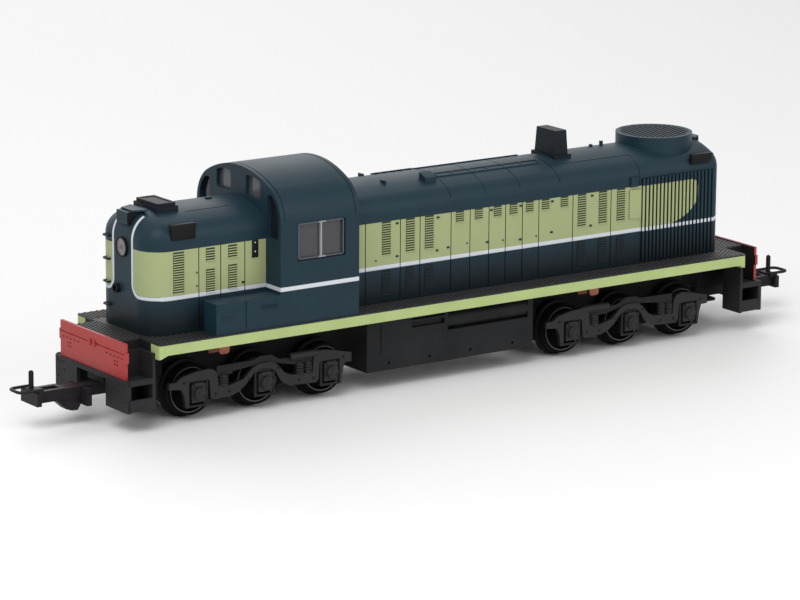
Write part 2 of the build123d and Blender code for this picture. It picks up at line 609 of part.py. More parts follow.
# ---------------------------------------------------------------------- hoods
def hood_section(inset=0.0):
    """Face across a hood: flat sides, arched roof and rounded shoulders."""
    centre_z = HOOD_TOP - HOOD_CROWN_RADIUS
    half = HOOD_HALF_WIDTH - inset
    shoulder_z = centre_z + math.sqrt(HOOD_CROWN_RADIUS**2 - half**2)
    arch = ThreePointArc((half, shoulder_z), (0, HOOD_TOP - inset), (-half, shoulder_z))
    sides = Polyline((-half, shoulder_z), (-half, DECK_TOP), (half, DECK_TOP), (half, shoulder_z))
    face = make_face(arch + sides)
    corners = face.vertices().group_by(Axis.Y)[-1]
    return fillet(corners, HOOD_SHOULDER)


def louvre_column(x0, x1, z_range, wall=-HOOD_HALF_WIDTH):
    """A column of sloping slats standing proud of a wall on the right side."""
    z0, z1 = z_range
    count = max(2, round((z1 - z0) / SLAT_PITCH))
    pitch = (z1 - z0) / count
    outline = [(wall + 0.3, z0)]
    for k in range(count):
        low = z0 + k * pitch
        outline += [(wall - SLAT_PROUD, low), (wall - SLAT_LOW, low + SLAT_SLOPE * pitch),
                    (wall - SLAT_LOW, low + pitch)]
    outline.append((wall + 0.3, z1))
    return along_x(outline, x0, x1)


def with_louvres(hood, columns):
    for x0, x1, z_range in columns:
        column = louvre_column(x0, x1, z_range)
        hood = hood + column + other_side(column)
    return hood


def with_seams(hood, seams):
    for x in seams:
        groove = slab(x - SEAM_WIDTH / 2, x + SEAM_WIDTH / 2, -HOOD_HALF_WIDTH - 1,
                      -HOOD_HALF_WIDTH + SEAM_DEPTH, *SEAM_Z)
        hood = hood - groove - other_side(groove)
    return hood


@cache
def short_hood_plain():
    section = Plane.YZ * hood_section()
    hood = Pos(-NOSE_X, 0, 0) * extrude(section, NOSE_X + CAB_FRONT_X)
    corners = hood.edges().filter_by(Axis.Z).group_by(Axis.X)[0]
    hood = fillet(corners, NOSE_CORNER)
    return hood & nose_profile(NOSE_X, NOSE_EDGE)


def nose_profile(end_x, edge):
    """Side view of a hood whose end at -end_x has a rounded top edge."""
    top = HOOD_TOP + 0.01
    lines = Polyline((0, top), (0, DECK_TOP), (-end_x, DECK_TOP), (-end_x, top - edge))
    far = (-end_x + edge * (1 - math.sqrt(0.5)), top - edge * (1 - math.sqrt(0.5)))
    arc = ThreePointArc((-end_x, top - edge), far, (-end_x + edge, top))
    close = Line((-end_x + edge, top), (0, top))
    outline = Plane.XZ * make_face(lines + arc + close)
    return Pos(0, 50, 0) * extrude(outline, 100)


@cache
def long_hood_plain():
    section = Plane.YZ * hood_section()
    hood = Pos(CAB_REAR_X, 0, 0) * extrude(section, HOOD_END_X - CAB_REAR_X)
    corners = hood.edges().filter_by(Axis.Z).group_by(Axis.X)[-1]
    hood = fillet(corners, HOOD_END_CORNER)
    end = mirror(nose_profile(HOOD_END_X, HOOD_END_EDGE), about=Plane.YZ)
    front = slab(CAB_REAR_X, 10, -20, 20, DECK_TOP, 60)
    return (hood & front) + (hood & end)


def with_roof_details(hood, lugs, lines):
    """Small blocks on a roof and thin seams along it, the seams on both sides."""
    for x0, x1, y0, y1, height in lugs:
        hood += slab(x0, x1, y0, y1, HOOD_TOP - 2.0, HOOD_TOP + height)
    centre_z = HOOD_TOP - HOOD_CROWN_RADIUS
    for x0, x1, y in lines:
        floor = centre_z + math.sqrt(HOOD_CROWN_RADIUS**2 - y**2) - ROOF_SEAM_DEPTH
        groove = slab(x0, x1, -y - SEAM_WIDTH / 2, -y + SEAM_WIDTH / 2, floor, HOOD_TOP + 1)
        hood = hood - groove - other_side(groove)
    return hood


def short_hood():
    hood = with_seams(with_louvres(short_hood_plain(), SHORT_HOOD_LOUVRES), SHORT_HOOD_SEAMS)
    return with_roof_details(hood, SHORT_ROOF_LUGS, SHORT_ROOF_LINES)


def long_hood():
    """The long hood's shell, open below, with its louvres, panels and small roof fittings."""
    section = Plane.YZ * hood_section(HOOD_WALL)
    inside = Pos(CAB_REAR_X + HOOD_WALL, 0, 0) * extrude(section, HOOD_END_X - CAB_REAR_X - 2 * HOOD_WALL)
    hood = with_louvres(long_hood_plain() - inside, LONG_HOOD_LOUVRES)
    wall = -HOOD_HALF_WIDTH
    for x0, x1, z0, z1, proud in SIDE_PANELS:
        panel = slab(x0, x1, wall - proud, wall + 0.3, z0, z1)
        hood = hood + panel + other_side(panel)
    for x, y, radius, height in ROOF_PEGS:
        hood += rod((x, y, HOOD_TOP - 1.0), (x, y, HOOD_TOP + height), radius)
    hood = with_roof_details(with_seams(hood, LONG_HOOD_SEAMS), LONG_ROOF_LUGS, LONG_ROOF_LINES)
    above = slab(CAB_REAR_X, HOOD_END_X, -HOOD_HALF_WIDTH, HOOD_HALF_WIDTH, SEAM_Z[1] + 3, HOOD_TOP + 5)
    for x in ROOF_SEAMS:
        hood -= roof_shell(hood_section, x, x + SEAM_WIDTH, ROOF_SEAM_DEPTH) & above
    x, y0, y1 = ROOF_SEAM_END
    edge = roof_shell(hood_section, x, x + SEAM_WIDTH, ROOF_SEAM_DEPTH) & slab(x - 1, x + 1, -y1, -y0, SEAM_Z[1], 60)
    return hood - edge - other_side(edge)


def radiator_fins():
    """Upright fins on the right side of the long hood's end, on a thin backing."""
    x0, x1, z0, z1 = (RADIATOR[k] for k in ("x0", "x1", "z0", "z1"))
    wall = -HOOD_HALF_WIDTH
    fins = slab(x0, x1, wall - FIN_BACK, wall, z0, z1)
    pitch = (x1 - x0 - FIN_THICK) / (FIN_COUNT - 1)
    for k in range(FIN_COUNT):
        left = x0 + k * pitch
        fins += slab(left, left + FIN_THICK, wall - FIN_PROUD, wall, z0, z1)
    return fins


# ------------------------------------------------------------------------ cab
def cab_section(inset):
    """Closed outline across the cab: straight walls and a three-centred arch."""
    half = CAB_HALF_WIDTH - inset
    crown = CAB_CROWN - inset
    radius = CAB_CROWN_RADIUS - inset
    small = CAB_SHOULDER - inset
    centre_z = crown - radius
    # the small arc is tangent to the wall and to the crown's arc
    small_y = half - small
    reach = radius - small
    small_z = centre_z + math.sqrt(reach**2 - small_y**2)
    direction = Vector(small_y, small_z - centre_z).normalized()
    join = (small_y + small * direction.X, small_z + small * direction.Y)
    angle = math.atan2(direction.Y, direction.X) / 2
    middle = (small_y + small * math.cos(angle), small_z + small * math.sin(angle))
    right = ThreePointArc((half, small_z), middle, join)
    top = ThreePointArc(join, (0, crown), (-join[0], join[1]))
    left = ThreePointArc((-join[0], join[1]), (-middle[0], middle[1]), (-half, small_z))
    base = Polyline((-half, small_z), (-half, DECK_TOP), (half, DECK_TOP), (half, small_z))
    return make_face(right + top + left + base)


def cab_shell():
    """The whole cab with its inside hollowed out, before walls and roof part."""
    outer = Pos(CAB_FRONT_X, 0, 0) * extrude(Plane.YZ * cab_section(0.0), CAB_REAR_X - CAB_FRONT_X)
    inner = Pos(CAB_FRONT_X + CAB_END_WALL, 0, 0) * extrude(
        Plane.YZ * cab_section(CAB_WALL), CAB_REAR_X - CAB_FRONT_X - 2 * CAB_END_WALL)
    above = slab(CAB_FRONT_X, CAB_REAR_X, -30, 30, CAB_EAVE, 80)
    for x in (CAB_FRONT_X + CAB_GROOVE_SET, CAB_REAR_X - CAB_GROOVE_SET - CAB_GROOVE_WIDTH):
        outer -= roof_shell(cab_section, x, x + CAB_GROOVE_WIDTH, CAB_GROOVE_DEPTH) & above
    return outer - inner


def frame_limits():
    """Where the sliding window sits in its opening: a gap stays behind and below it."""
    return (SIDE_WINDOW["x0"], SIDE_WINDOW["x1"] - FRAME_GAP["rear"],
            SIDE_WINDOW["z0"] + FRAME_GAP["below"], SIDE_WINDOW["z1"])


def window_frames():
    """Frame with one upright bar in the opening on each side of the cab."""
    x0, x1, z0, z1 = frame_limits()
    y0, y1 = -CAB_HALF_WIDTH - FRAME_PROUD, -CAB_HALF_WIDTH + GLASS_INSET
    bar = FRAME_BAR
    frame = slab(x0, x1, y0, y1, z0, z1)
    frame = fillet(frame.edges().filter_by(Axis.Y), FRAME_CORNER)
    frame -= slab(x0 + bar, x1 - bar, y0 - 1, y1 + 1, z0 + bar, z1 - bar)
    middle = (x0 + x1) / 2
    frame += slab(middle - FRAME_MIDDLE / 2, middle + FRAME_MIDDLE / 2, y0, y1, z0 + bar / 2, z1 - bar / 2)
    return frame, other_side(frame)


def cab_windows():
    """Bodies that cut the window openings, by wall: side, front and rear."""
    x0, x1, z0, z1 = (SIDE_WINDOW[k] for k in ("x0", "x1", "z0", "z1"))
    side = slab(x0, x1, -CAB_HALF_WIDTH - 1, -CAB_HALF_WIDTH + CAB_WALL + 1, z0, z1)
    ends = []
    for wall_x in (CAB_FRONT_X, CAB_REAR_X):
        within = Pos(wall_x - 2, 0, 0) * extrude(Plane.YZ * cab_section(END_WINDOW_BORDER), 4)
        for (y0, y1), (z0, z1) in END_WINDOWS:
            opening = slab(wall_x - 2, wall_x + 2, y0, y1, z0, z1)
            opening = fillet(opening.edges().filter_by(Axis.X), END_WINDOW_CORNER) & within
            ends += [opening, other_side(opening)]
    return [side, other_side(side)], ends


def cab_pieces():
    shell = cab_shell()
    sides, ends = cab_windows()
    for cutter in sides + ends:
        shell -= cutter
    split = CAB_EAVE
    high = slab(CAB_FRONT_X - 5, CAB_REAR_X + 5, -30, 30, split, 80)
    ends_box = slab(CAB_FRONT_X + CAB_END_WALL, CAB_REAR_X - CAB_END_WALL, -30, 30, split, 80)
    roof = shell & ends_box
    walls = shell - ends_box
    return walls, roof


def glazing():
    """Panes that fill the window openings, set just inside the outer face."""
    ends = cab_windows()[1]
    x0, x1, z0, z1 = frame_limits()
    inset = -CAB_HALF_WIDTH + GLASS_INSET
    pane = slab(x0, x1, inset, inset + GLASS_THICK, z0, z1)
    end_panes = []
    for wall_x, sign in ((CAB_FRONT_X, 1), (CAB_REAR_X, -1)):
        outer_x = wall_x + sign * END_GLASS_INSET
        sheet = slab(outer_x, outer_x + sign * GLASS_THICK, -30, 30, 20, 60)
        end_panes += [sheet & cutter for cutter in ends]
    end_panes = [p for p in end_panes if p.solids()]
    return [pane, other_side(pane)], end_panes


# ------------------------------------------------------------------ roof etc.
def fan_shroud():
    ring = Cylinder(FAN_RADIUS, 8.0) - Cylinder(FAN_RADIUS - FAN_WALL, 20)
    ring = Pos(FAN_X, 0, FAN_TOP - 4.0) * ring
    return ring - long_hood_plain()


def fan_grille():
    """Parallel bars across the shroud, joined by a thin ring."""
    radius = FAN_RADIUS - FAN_WALL
    top = FAN_TOP - 0.3
    disc = Pos(FAN_X, 0, top) * Cylinder(radius, 0.5)
    ring = disc - Pos(FAN_X, 0, top) * Cylinder(radius - 0.4, 3)
    pitch = 2 * radius / (FAN_BARS + 1)
    for k in range(FAN_BARS):
        y = -radius + (k + 1) * pitch
        bar = Rot(0, 0, FAN_BAR_ANGLE) * slab(-20, 20, y - FAN_BAR / 2, y + FAN_BAR / 2, top - 1, top + 1)
        ring += disc & (Pos(FAN_X, 0, 0) * bar)
    return ring


def exhaust_stack():
    floor = Plane.XY.offset(HOOD_TOP - 0.8)
    lower = floor * Rectangle(*STACK_BASE)
    upper = Plane.XY.offset(STACK_TOP) * Rectangle(*STACK_RIM)
    stack = Pos(STACK_X, 0, 0) * loft([lower.face(), upper.face()])
    stack += slab(STACK_X - STACK_BASE[0] / 2 - 0.5, STACK_X + STACK_BASE[0] / 2 + 0.5,
                  -STACK_BASE[1] / 2 - 0.5, STACK_BASE[1] / 2 + 0.5, HOOD_TOP - 0.8, HOOD_TOP + 0.4)
    return stack - long_hood_plain()


def nose_top_box():
    """Low box with a stepped and panelled lid on the short hood's roof."""
    x0, x1, half, top = (NOSE_BOX[k] for k in ("x0", "x1", "half", "top"))
    box = slab(x0, x1, -half, half, HOOD_TOP - 3, top)
    inset = NOSE_LID_INSET
    box += slab(x0 + inset, x1 - inset, -half + inset, half - inset, top, NOSE_LID_TOP)
    inset, depth = NOSE_LID_PANEL["inset"], NOSE_LID_PANEL["depth"]
    box -= slab(x0 + inset, x1 - inset, -half + inset, half - inset, NOSE_LID_TOP - depth, NOSE_LID_TOP + 1)
    return box - short_hood_plain()


def headlight_visors():
    """Tapered visor on a small block over the headlight, at each end."""
    visors = []
    back_half, front_half = VISOR_HALF_WIDTHS
    half, z0, proud = (VISOR_BLOCK[k] for k in ("half", "z0", "proud"))
    low = VISOR_TOP - VISOR_THICK
    for place, x0, x1 in VISOR_SPANS:
        end_x, hood = (NOSE_X, short_hood_plain()) if place == "front" else (HOOD_END_X, long_hood_plain())
        outline = Polyline((x0, -back_half), (x0, back_half), (x1, front_half), (x1, -front_half), close=True)
        visor = Pos(0, 0, low) * extrude(make_face(outline), VISOR_THICK)
        visor += slab(x0, end_x + proud, -half, half, z0, low)
        visors.append((other_end(visor) if place == "front" else visor) - hood)
    return visors


def headlights():
    """Round bezels and their lenses on the two ends of the hoods."""
    bezels, lenses = [], []
    for end_x, flip in ((NOSE_X, True), (HOOD_END_X, False)):
        bezel = rod((end_x, 0, HEADLIGHT_Z), (end_x + HEADLIGHT_PROUD, 0, HEADLIGHT_Z), HEADLIGHT_RADIUS)
        bezel -= rod((end_x - 1, 0, HEADLIGHT_Z), (end_x + 2, 0, HEADLIGHT_Z), LENS_RADIUS)
        lens = rod((end_x, 0, HEADLIGHT_Z), (end_x + HEADLIGHT_PROUD * 0.7, 0, HEADLIGHT_Z), LENS_RADIUS)
        bezels.append(other_end(bezel) if flip else bezel)
        lenses.append(other_end(lens) if flip else lens)
    return bezels, lenses


def nose_sockets():
    """Round cable socket low on each end, to the left of the direction it faces."""
    sockets = []
    for end_x, flip in ((NOSE_X, True), (HOOD_END_X, False)):
        y = SOCKET_Y if flip else -SOCKET_Y
        tube = rod((end_x, y, SOCKET_Z), (end_x + SOCKET_PROUD, y, SOCKET_Z), SOCKET_RADIUS)
        tube -= rod((end_x + 0.3, y, SOCKET_Z), (end_x + 2, y, SOCKET_Z), SOCKET_RADIUS - 0.3)
        sockets.append(other_end(tube) if flip else tube)
    return sockets


def number_boards():
    """Boxes for the number boards on both shoulders of both hoods."""
    boards = []
    for (x0, x1), hood in zip(NUMBER_BOARD_X, (short_hood_plain(), long_hood_plain())):
        box = slab(x0, x1, -NUMBER_BOARD_Y[1], -NUMBER_BOARD_Y[0], *NUMBER_BOARD_Z)
        top = NUMBER_BOARD_Z[1]
        lip = NUMBER_BOARD_LIP
        box += slab(x0 - lip, x1 + lip, -NUMBER_BOARD_Y[1] - lip, -NUMBER_BOARD_Y[0], top, top + lip)
        box = box - hood - Pos(FAN_X, 0, HOOD_TOP) * Cylinder(FAN_RADIUS, 20)
        boards += [box, other_side(box)]
    return boards


def roof_layer(x0, x1, y0, y1, proud):
    """A patch of the long hood's roof raised by proud, between the limits given."""
    section = Plane.YZ * hood_section(-proud)
    return (Pos(x0, 0, 0) * extrude(section, x1 - x0)) & slab(x0, x1, y0, y1, HOOD_TOP - 5, HOOD_TOP + 5)


def roof_strips():
    """Ladders on both sides of the roof, a block on the right and small bumps on the left."""
    x0, x1, y0, y1, proud, floor, rail = (
        LADDER[k] for k in ("x0", "x1", "y0", "y1", "proud", "floor", "rail"))
    ladder = roof_layer(x0, x1, -y1, -y0, proud)
    pitch = (x1 - x0) / LADDER_CELLS
    for k in range(LADDER_CELLS):
        left = x0 + k * pitch + rail / 2
        ladder -= slab(left, left + pitch - rail, -y1 + rail, -y0 - rail, 30, 60)
    ladder += roof_layer(x0, x1, -y1, -y0, floor)
    x0, x1, y0, y1, proud = (ROOF_BLOCK[k] for k in ("x0", "x1", "y0", "y1", "proud"))
    pieces = [ladder, other_side(ladder), roof_layer(x0, x1, -y1, -y0, proud)]
    x0, pitch, length, y0, y1, proud = (
        ROOF_BUMPS[k] for k in ("x0", "pitch", "length", "y0", "y1", "proud"))
    for k in range(ROOF_BUMPS["count"]):
        left = x0 + k * pitch
        pieces.append(roof_layer(left, left + length, y0, y1, proud))
    hood = long_hood_plain()
    return [piece - hood for piece in pieces]


def motor_and_ballast():
    x0, x1, half, top = (MOTOR[k] for k in ("x0", "x1", "half", "top"))
    return slab(x0, x1, -half, half, DECK_TOP, top)


def equipment_box():
    """Low box on the walkway between the nose and the cab, right side."""
    x0, z1, seam_x = (EQUIPMENT_BOX[k] for k in ("x0", "z1", "seam_x"))
    wall = -CAB_HALF_WIDTH
    box = slab(x0, CAB_FRONT_X, wall, -HOOD_HALF_WIDTH, DECK_TOP, z1)
    box -= slab(seam_x - SEAM_WIDTH / 2, seam_x + SEAM_WIDTH / 2, wall - 1, wall + SEAM_DEPTH, DECK_TOP + 1, z1 + 1)
    for left, right, z_range in BOX_LOUVRES:
        box += louvre_column(left, right, z_range, wall)
    return box


def end_surface_x(y, end_x, corner):
    """How far out the end of a hood reaches at y, with its rounded corners."""
    past = abs(y) - (HOOD_HALF_WIDTH - corner)
    return end_x if past <= 0 else end_x - corner + math.sqrt(corner**2 - past**2)


def grab_iron(y, z, end_x, corner):
    """A wire handle on the +X end of a hood, its two feet on the surface."""
    front = end_x + GRAB_REACH
    y0, y1 = y - GRAB_WIDTH / 2, y + GRAB_WIDTH / 2
    foot0, foot1 = (max(end_surface_x(foot - GRAB_WIRE, end_x, corner),
                        end_surface_x(foot + GRAB_WIRE, end_x, corner)) for foot in (y0, y1))
    points = [(foot0, y0, z), (front, y0, z), (front, y1, z), (foot1, y1, z)]
    return bent_wire(points, GRAB_WIRE, 0.4)


os.makedirs("parts", exist_ok=True)

save("deck", deck())
save("sill_bands", *sill_bands())
save("walkway_treads", walkway_treads())
for end, place in ((-1, "front"), (1, "rear")):
    save(f"pilot_{place}", pilot(end))
    save(f"end_sheet_{place}", end_sheet(end))
    save(f"coupler_box_{place}", coupler_box(end))
    save(f"coupler_{place}", coupler(end))
for place, truck_x, inward in TRUCKS:
    save(f"truck_{place}_frame", truck_frame(truck_x))
    save(f"truck_{place}_contacts", *contact_strips(truck_x))
    for side, hand in ((1, "left"), (-1, "right")):
        save(f"truck_{place}_sideframe_{hand}", sideframe(truck_x, side, inward))
    for number, offset in enumerate((-AXLE_PITCH, 0, AXLE_PITCH), start=1):
        save(f"truck_{place}_wheelset_{number}", wheelset(truck_x + offset))
save("tank_skirt", tank_skirt())
save("air_reservoirs", *reservoirs())
save("short_hood", short_hood())
save("long_hood", long_hood())
fins = radiator_fins()
save("radiator_fins_right", fins)
save("radiator_fins_left", other_side(fins))
walls, roof = cab_pieces()
save("cab_walls", walls)
save("cab_roof", roof)
save("window_frames", *window_frames())
save("nose_top_box", nose_top_box())
save("headlight_visors", *headlight_visors())
bezels, lenses = headlights()
save("headlight_bezels", *bezels)
save("headlight_lenses", *lenses)
save("nose_sockets", *nose_sockets())
save("number_boards", *number_boards())
save("roof_strips", *roof_strips())
save("motor_and_ballast", motor_and_ballast())
side_panes, end_panes = glazing()
save("cab_side_glazing", *side_panes)
save("cab_end_glazing", *end_panes)
save("fan_shroud", fan_shroud())
save("fan_grille", fan_grille())
save("exhaust_stack", exhaust_stack())
box = equipment_box()
save("equipment_boxes", box, other_side(box))
save("grab_irons_front", *[other_end(grab_iron(GRAB_Y, z, NOSE_X, NOSE_CORNER)) for z in GRAB_HEIGHTS])
save("grab_irons_rear", *[grab_iron(-GRAB_Y, z, HOOD_END_X, HOOD_END_CORNER) for z in GRAB_HEIGHTS])
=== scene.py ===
"""A model diesel locomotive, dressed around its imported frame.

The file follows the model as it is put together: underframe, ends, trucks,
hoods, cab, roof, then the table it stands on, the lamps and the camera.
Sizes are in millimetres from the rail head unless a name says otherwise.
"""
import math

import bpy
from mathutils import Matrix, Vector


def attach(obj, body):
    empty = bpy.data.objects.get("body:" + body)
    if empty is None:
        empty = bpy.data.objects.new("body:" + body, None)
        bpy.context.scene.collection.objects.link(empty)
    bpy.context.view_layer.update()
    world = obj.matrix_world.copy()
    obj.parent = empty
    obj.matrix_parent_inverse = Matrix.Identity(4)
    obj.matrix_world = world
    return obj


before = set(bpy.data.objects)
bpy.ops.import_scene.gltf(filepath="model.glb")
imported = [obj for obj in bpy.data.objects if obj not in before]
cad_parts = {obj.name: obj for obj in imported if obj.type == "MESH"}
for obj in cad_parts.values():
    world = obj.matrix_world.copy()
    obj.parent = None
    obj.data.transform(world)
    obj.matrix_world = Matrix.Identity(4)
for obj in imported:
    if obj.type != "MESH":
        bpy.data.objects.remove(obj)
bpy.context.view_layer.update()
bpy.context.scene.view_settings.view_transform = "Standard"


# ------------------------------------------------------------------ underframe
# The deck is one black moulding that carries hoods, cab, tank and couplers.
# Its plastic is matt, faintly cloudy, and duller where hands don't reach.
RAIL_HEAD = 0.00075
MM = 0.001


class Value:
    """One socket among a finish's nodes. Arithmetic on it adds Math nodes."""

    def __init__(self, finish, socket):
        self.finish = finish
        self.socket = socket

    def math(self, operation, *others):
        return self.finish.node("ShaderNodeMath", {"operation": operation}, dict(enumerate((self, *others))))

    def __add__(self, other):
        return self.math("ADD", other)

    def __mul__(self, other):
        return self.math("MULTIPLY", other)

    def __sub__(self, other):
        return self.math("SUBTRACT", other)

    def __rsub__(self, other):
        return self.finish.node("ShaderNodeMath", {"operation": "SUBTRACT"}, {0: other, 1: self})

    def __truediv__(self, other):
        return self.math("DIVIDE", other)

    def __abs__(self):
        return self.math("ABSOLUTE")

    __radd__ = __add__
    __rmul__ = __mul__

    def least(self, other):
        return self.math("MINIMUM", other)

    def most(self, other):
        return self.math("MAXIMUM", other)

    def root(self):
        return self.math("SQRT")

    def step(self, edge, blur):
        """0 below edge and 1 above it, turning over a width of blur."""
        return self.finish.node("ShaderNodeMapRange", {"clamp": True},
                                {0: self, 1: edge - blur / 2, 2: edge + blur / 2, 3: 0.0, 4: 1.0})

    def within(self, low, high, blur):
        """1 between two values and 0 outside them."""
        return self.step(low, blur) * (1 - self.step(high, blur))


class Finish:
    """A material. node() adds to it and shade() sets its surface."""

    def __init__(self, name):
        self.material = bpy.data.materials.new(name)
        self.material.use_nodes = True
        self.tree = self.material.node_tree
        self.shader = self.tree.nodes["Principled BSDF"]
        place = self.node("ShaderNodeTexCoord", {}, {}, "Object")
        self.place = self.node("ShaderNodeMapping", {},
                               {"Vector": place, "Scale": (1000, 1000, 1000),
                                "Location": (0, 0, -RAIL_HEAD * 1000)})
        axes = self.node("ShaderNodeSeparateXYZ", {}, {"Vector": self.place}, 0)
        self.x = axes
        self.y = Value(self, axes.socket.node.outputs[1])
        self.z = Value(self, axes.socket.node.outputs[2])

    def node(self, kind, settings, inputs, output=0):
        """Add a node: settings first, then the values or links of its sockets."""
        added = self.tree.nodes.new(kind)
        for name, setting in settings.items():
            setattr(added, name, setting)
        self.connect(added, inputs)
        return Value(self, added.outputs[output])

    def connect(self, added, inputs):
        for name, given in inputs.items():
            socket = added.inputs[name]
            if isinstance(given, Value):
                self.tree.links.new(given.socket, socket)
            elif isinstance(given, tuple) and socket.type == "RGBA":
                socket.default_value = (*given, 1)
            else:
                socket.default_value = given

    def noise(self, size, detail=3.0, stretch=(1, 1, 1)):
        """Cloudy noise from 0 to 1, whose patches are about size millimetres wide."""
        spread = self.node("ShaderNodeVectorMath", {"operation": "MULTIPLY"}, {0: self.place, 1: stretch})
        return self.node("ShaderNodeTexNoise", {}, {"Vector": spread, "Scale": 1 / size, "Detail": detail})

    def mix(self, factor, first, second):
        """The first colour where factor is 0 and the second where it is 1."""
        return self.node("ShaderNodeMix", {"data_type": "RGBA"}, {0: factor, 6: first, 7: second}, 2)

    def raised(self, height, depth):
        """A bump whose height of 0 to 1 stands for depth in millimetres."""
        return self.node("ShaderNodeBump", {}, {"Height": height, "Distance": depth * MM, "Strength": 1.0})

    def shade(self, **inputs):
        self.connect(self.shader, {name.replace("_", " "): given for name, given in inputs.items()})
        return self


def colour(red, green, blue):
    """A colour from its 0 to 255 display values."""
    return tuple(((c / 255 + 0.055) / 1.055) ** 2.4 if c > 10 else c / 255 / 12.92 for c in (red, green, blue))


def moulded(name, base, gloss=0.5, cloud=0.25):
    """Moulded or sprayed plastic: faint clouds of tone, a fine skin and uneven gloss."""
    finish = Finish(name)
    patches = finish.noise(9.0)
    grain = finish.noise(0.35, 2.0)
    lighter = tuple(min(1.0, c * (1 + cloud) + 0.004) for c in base)
    darker = tuple(c * (1 - cloud) for c in base)
    return finish.shade(
        Base_Color=finish.mix(patches.step(0.5, 0.5), darker, lighter),
        Roughness=gloss + (patches - 0.5) * 0.16 + (grain - 0.5) * 0.12,
        Specular_IOR_Level=0.12,
        Normal=finish.raised(grain, 0.012))


def dress(finish, *nodes):
    """Give CAD nodes a finish in place of their plain one."""
    for node in nodes:
        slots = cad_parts[node].data.materials
        slots.clear()
        slots.append(finish.material)


chassis_black = moulded("chassis_black", colour(21, 22, 24), 0.55)
dress(chassis_black, "deck", "coupler_box_front", "coupler_box_rear")


# -------------------------------------------------------------- walkway plates
# The walkways and end platforms have a tread plate of slanting ribs, moulded
# in black, with a painted highlight of light grey along the rib tops.
RIB_PITCH = 0.9
RIB_WIDTH = 0.36
RIB_TOP = 18.68
RIB_ANGLE = math.radians(36)
PLATE_TOP = 18.5
RIB_SINK = 0.05
RIB_TAPER = 0.55
RIB_HIGHLIGHT_ABOVE = PLATE_TOP + 0.12
HIGHLIGHT_END = 70.0
HIGHLIGHT_FADE = 6.0
WALKWAYS = [  # x0, x1, inner and outer distance from the centre line
    (-79.5, -65.8, 11.2, 16.9),
    (-28.7, 79.5, 11.6, 16.9),
]
PLATFORMS = [  # x0, x1, half width
    (-85.1, -79.6, 8.8),
    (77.1, 79.6, 11.3),
    (79.6, 85.1, 8.8),
]


def deselect():
    bpy.ops.object.select_all(action="DESELECT")


def take(piece):
    """Select one piece alone and make it active."""
    deselect()
    piece.select_set(True)
    bpy.context.view_layer.objects.active = piece


def shaping(piece):
    """Open a piece in edit mode with all of it selected."""
    take(piece)
    bpy.ops.object.mode_set(mode="EDIT")
    bpy.ops.mesh.select_all(action="SELECT")


def only(piece, wanted):
    """Open a piece in edit mode with just the faces that pass a test selected."""
    shaping(piece)
    bpy.ops.mesh.select_mode(type="FACE")
    bpy.ops.mesh.select_all(action="DESELECT")
    bpy.ops.object.mode_set(mode="OBJECT")
    for face in piece.data.polygons:
        face.select = wanted(face)
    bpy.ops.object.mode_set(mode="EDIT")


def settle(piece):
    """Leave edit mode and bring the piece's place into its mesh."""
    if bpy.context.mode != "OBJECT":
        bpy.ops.object.mode_set(mode="OBJECT")
    take(piece)
    bpy.ops.object.transform_apply(location=True, rotation=True, scale=True)
    return piece


def block(name, x, y, z, bevel=0.0):
    """A block between pairs of limits, its edges eased by bevel."""
    deselect()
    middle = [(low + high) / 2 * MM for low, high in (x, y, z)]
    bpy.ops.mesh.primitive_cube_add(size=MM, location=(middle[0], middle[1], middle[2] + RAIL_HEAD),
                                    scale=[high - low for low, high in (x, y, z)])
    piece = bpy.context.object
    piece.name = name
    settle(piece)
    if bevel:
        shaping(piece)
        bpy.ops.mesh.bevel(offset=bevel * MM, segments=2, affect="EDGES")
        settle(piece)
    return piece


def joined(name, parts):
    """Several meshes made into one piece."""
    deselect()
    for part in parts:
        part.select_set(True)
    bpy.context.view_layer.objects.active = parts[0]
    if len(parts) > 1:
        bpy.ops.object.join()
    piece = bpy.context.object
    piece.name = name
    return settle(piece)


def repeated(name, model, moves):
    """Copies of one modelled piece, moved by millimetres and made one piece."""
    copies = []
    for move in moves:
        copy = model.copy()
        copy.data = model.data.copy()
        bpy.context.collection.objects.link(copy)
        copy.location = [step * MM for step in move]
        copies.append(copy)
    bpy.data.objects.remove(model)
    return joined(name, copies)


def other_side(name, piece):
    """The mirrored twin of a piece on the other side of the centre line, its faces outwards."""
    twin = piece.copy()
    twin.data = piece.data.copy()
    bpy.context.collection.objects.link(twin)
    twin.name = name
    shaping(twin)
    bpy.ops.transform.mirror(constraint_axis=(False, True, False), center_override=(0, 0, 0))
    bpy.ops.mesh.flip_normals()
    return settle(twin)


def fit(piece, finish, body="locomotive_body", smooth=30):
    """Finish a new piece and let it ride on its body."""
    take(piece)
    piece.data.materials.clear()
    piece.data.materials.append(finish.material)
    bpy.ops.object.shade_smooth_by_angle(angle=math.radians(smooth))
    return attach(piece, body)


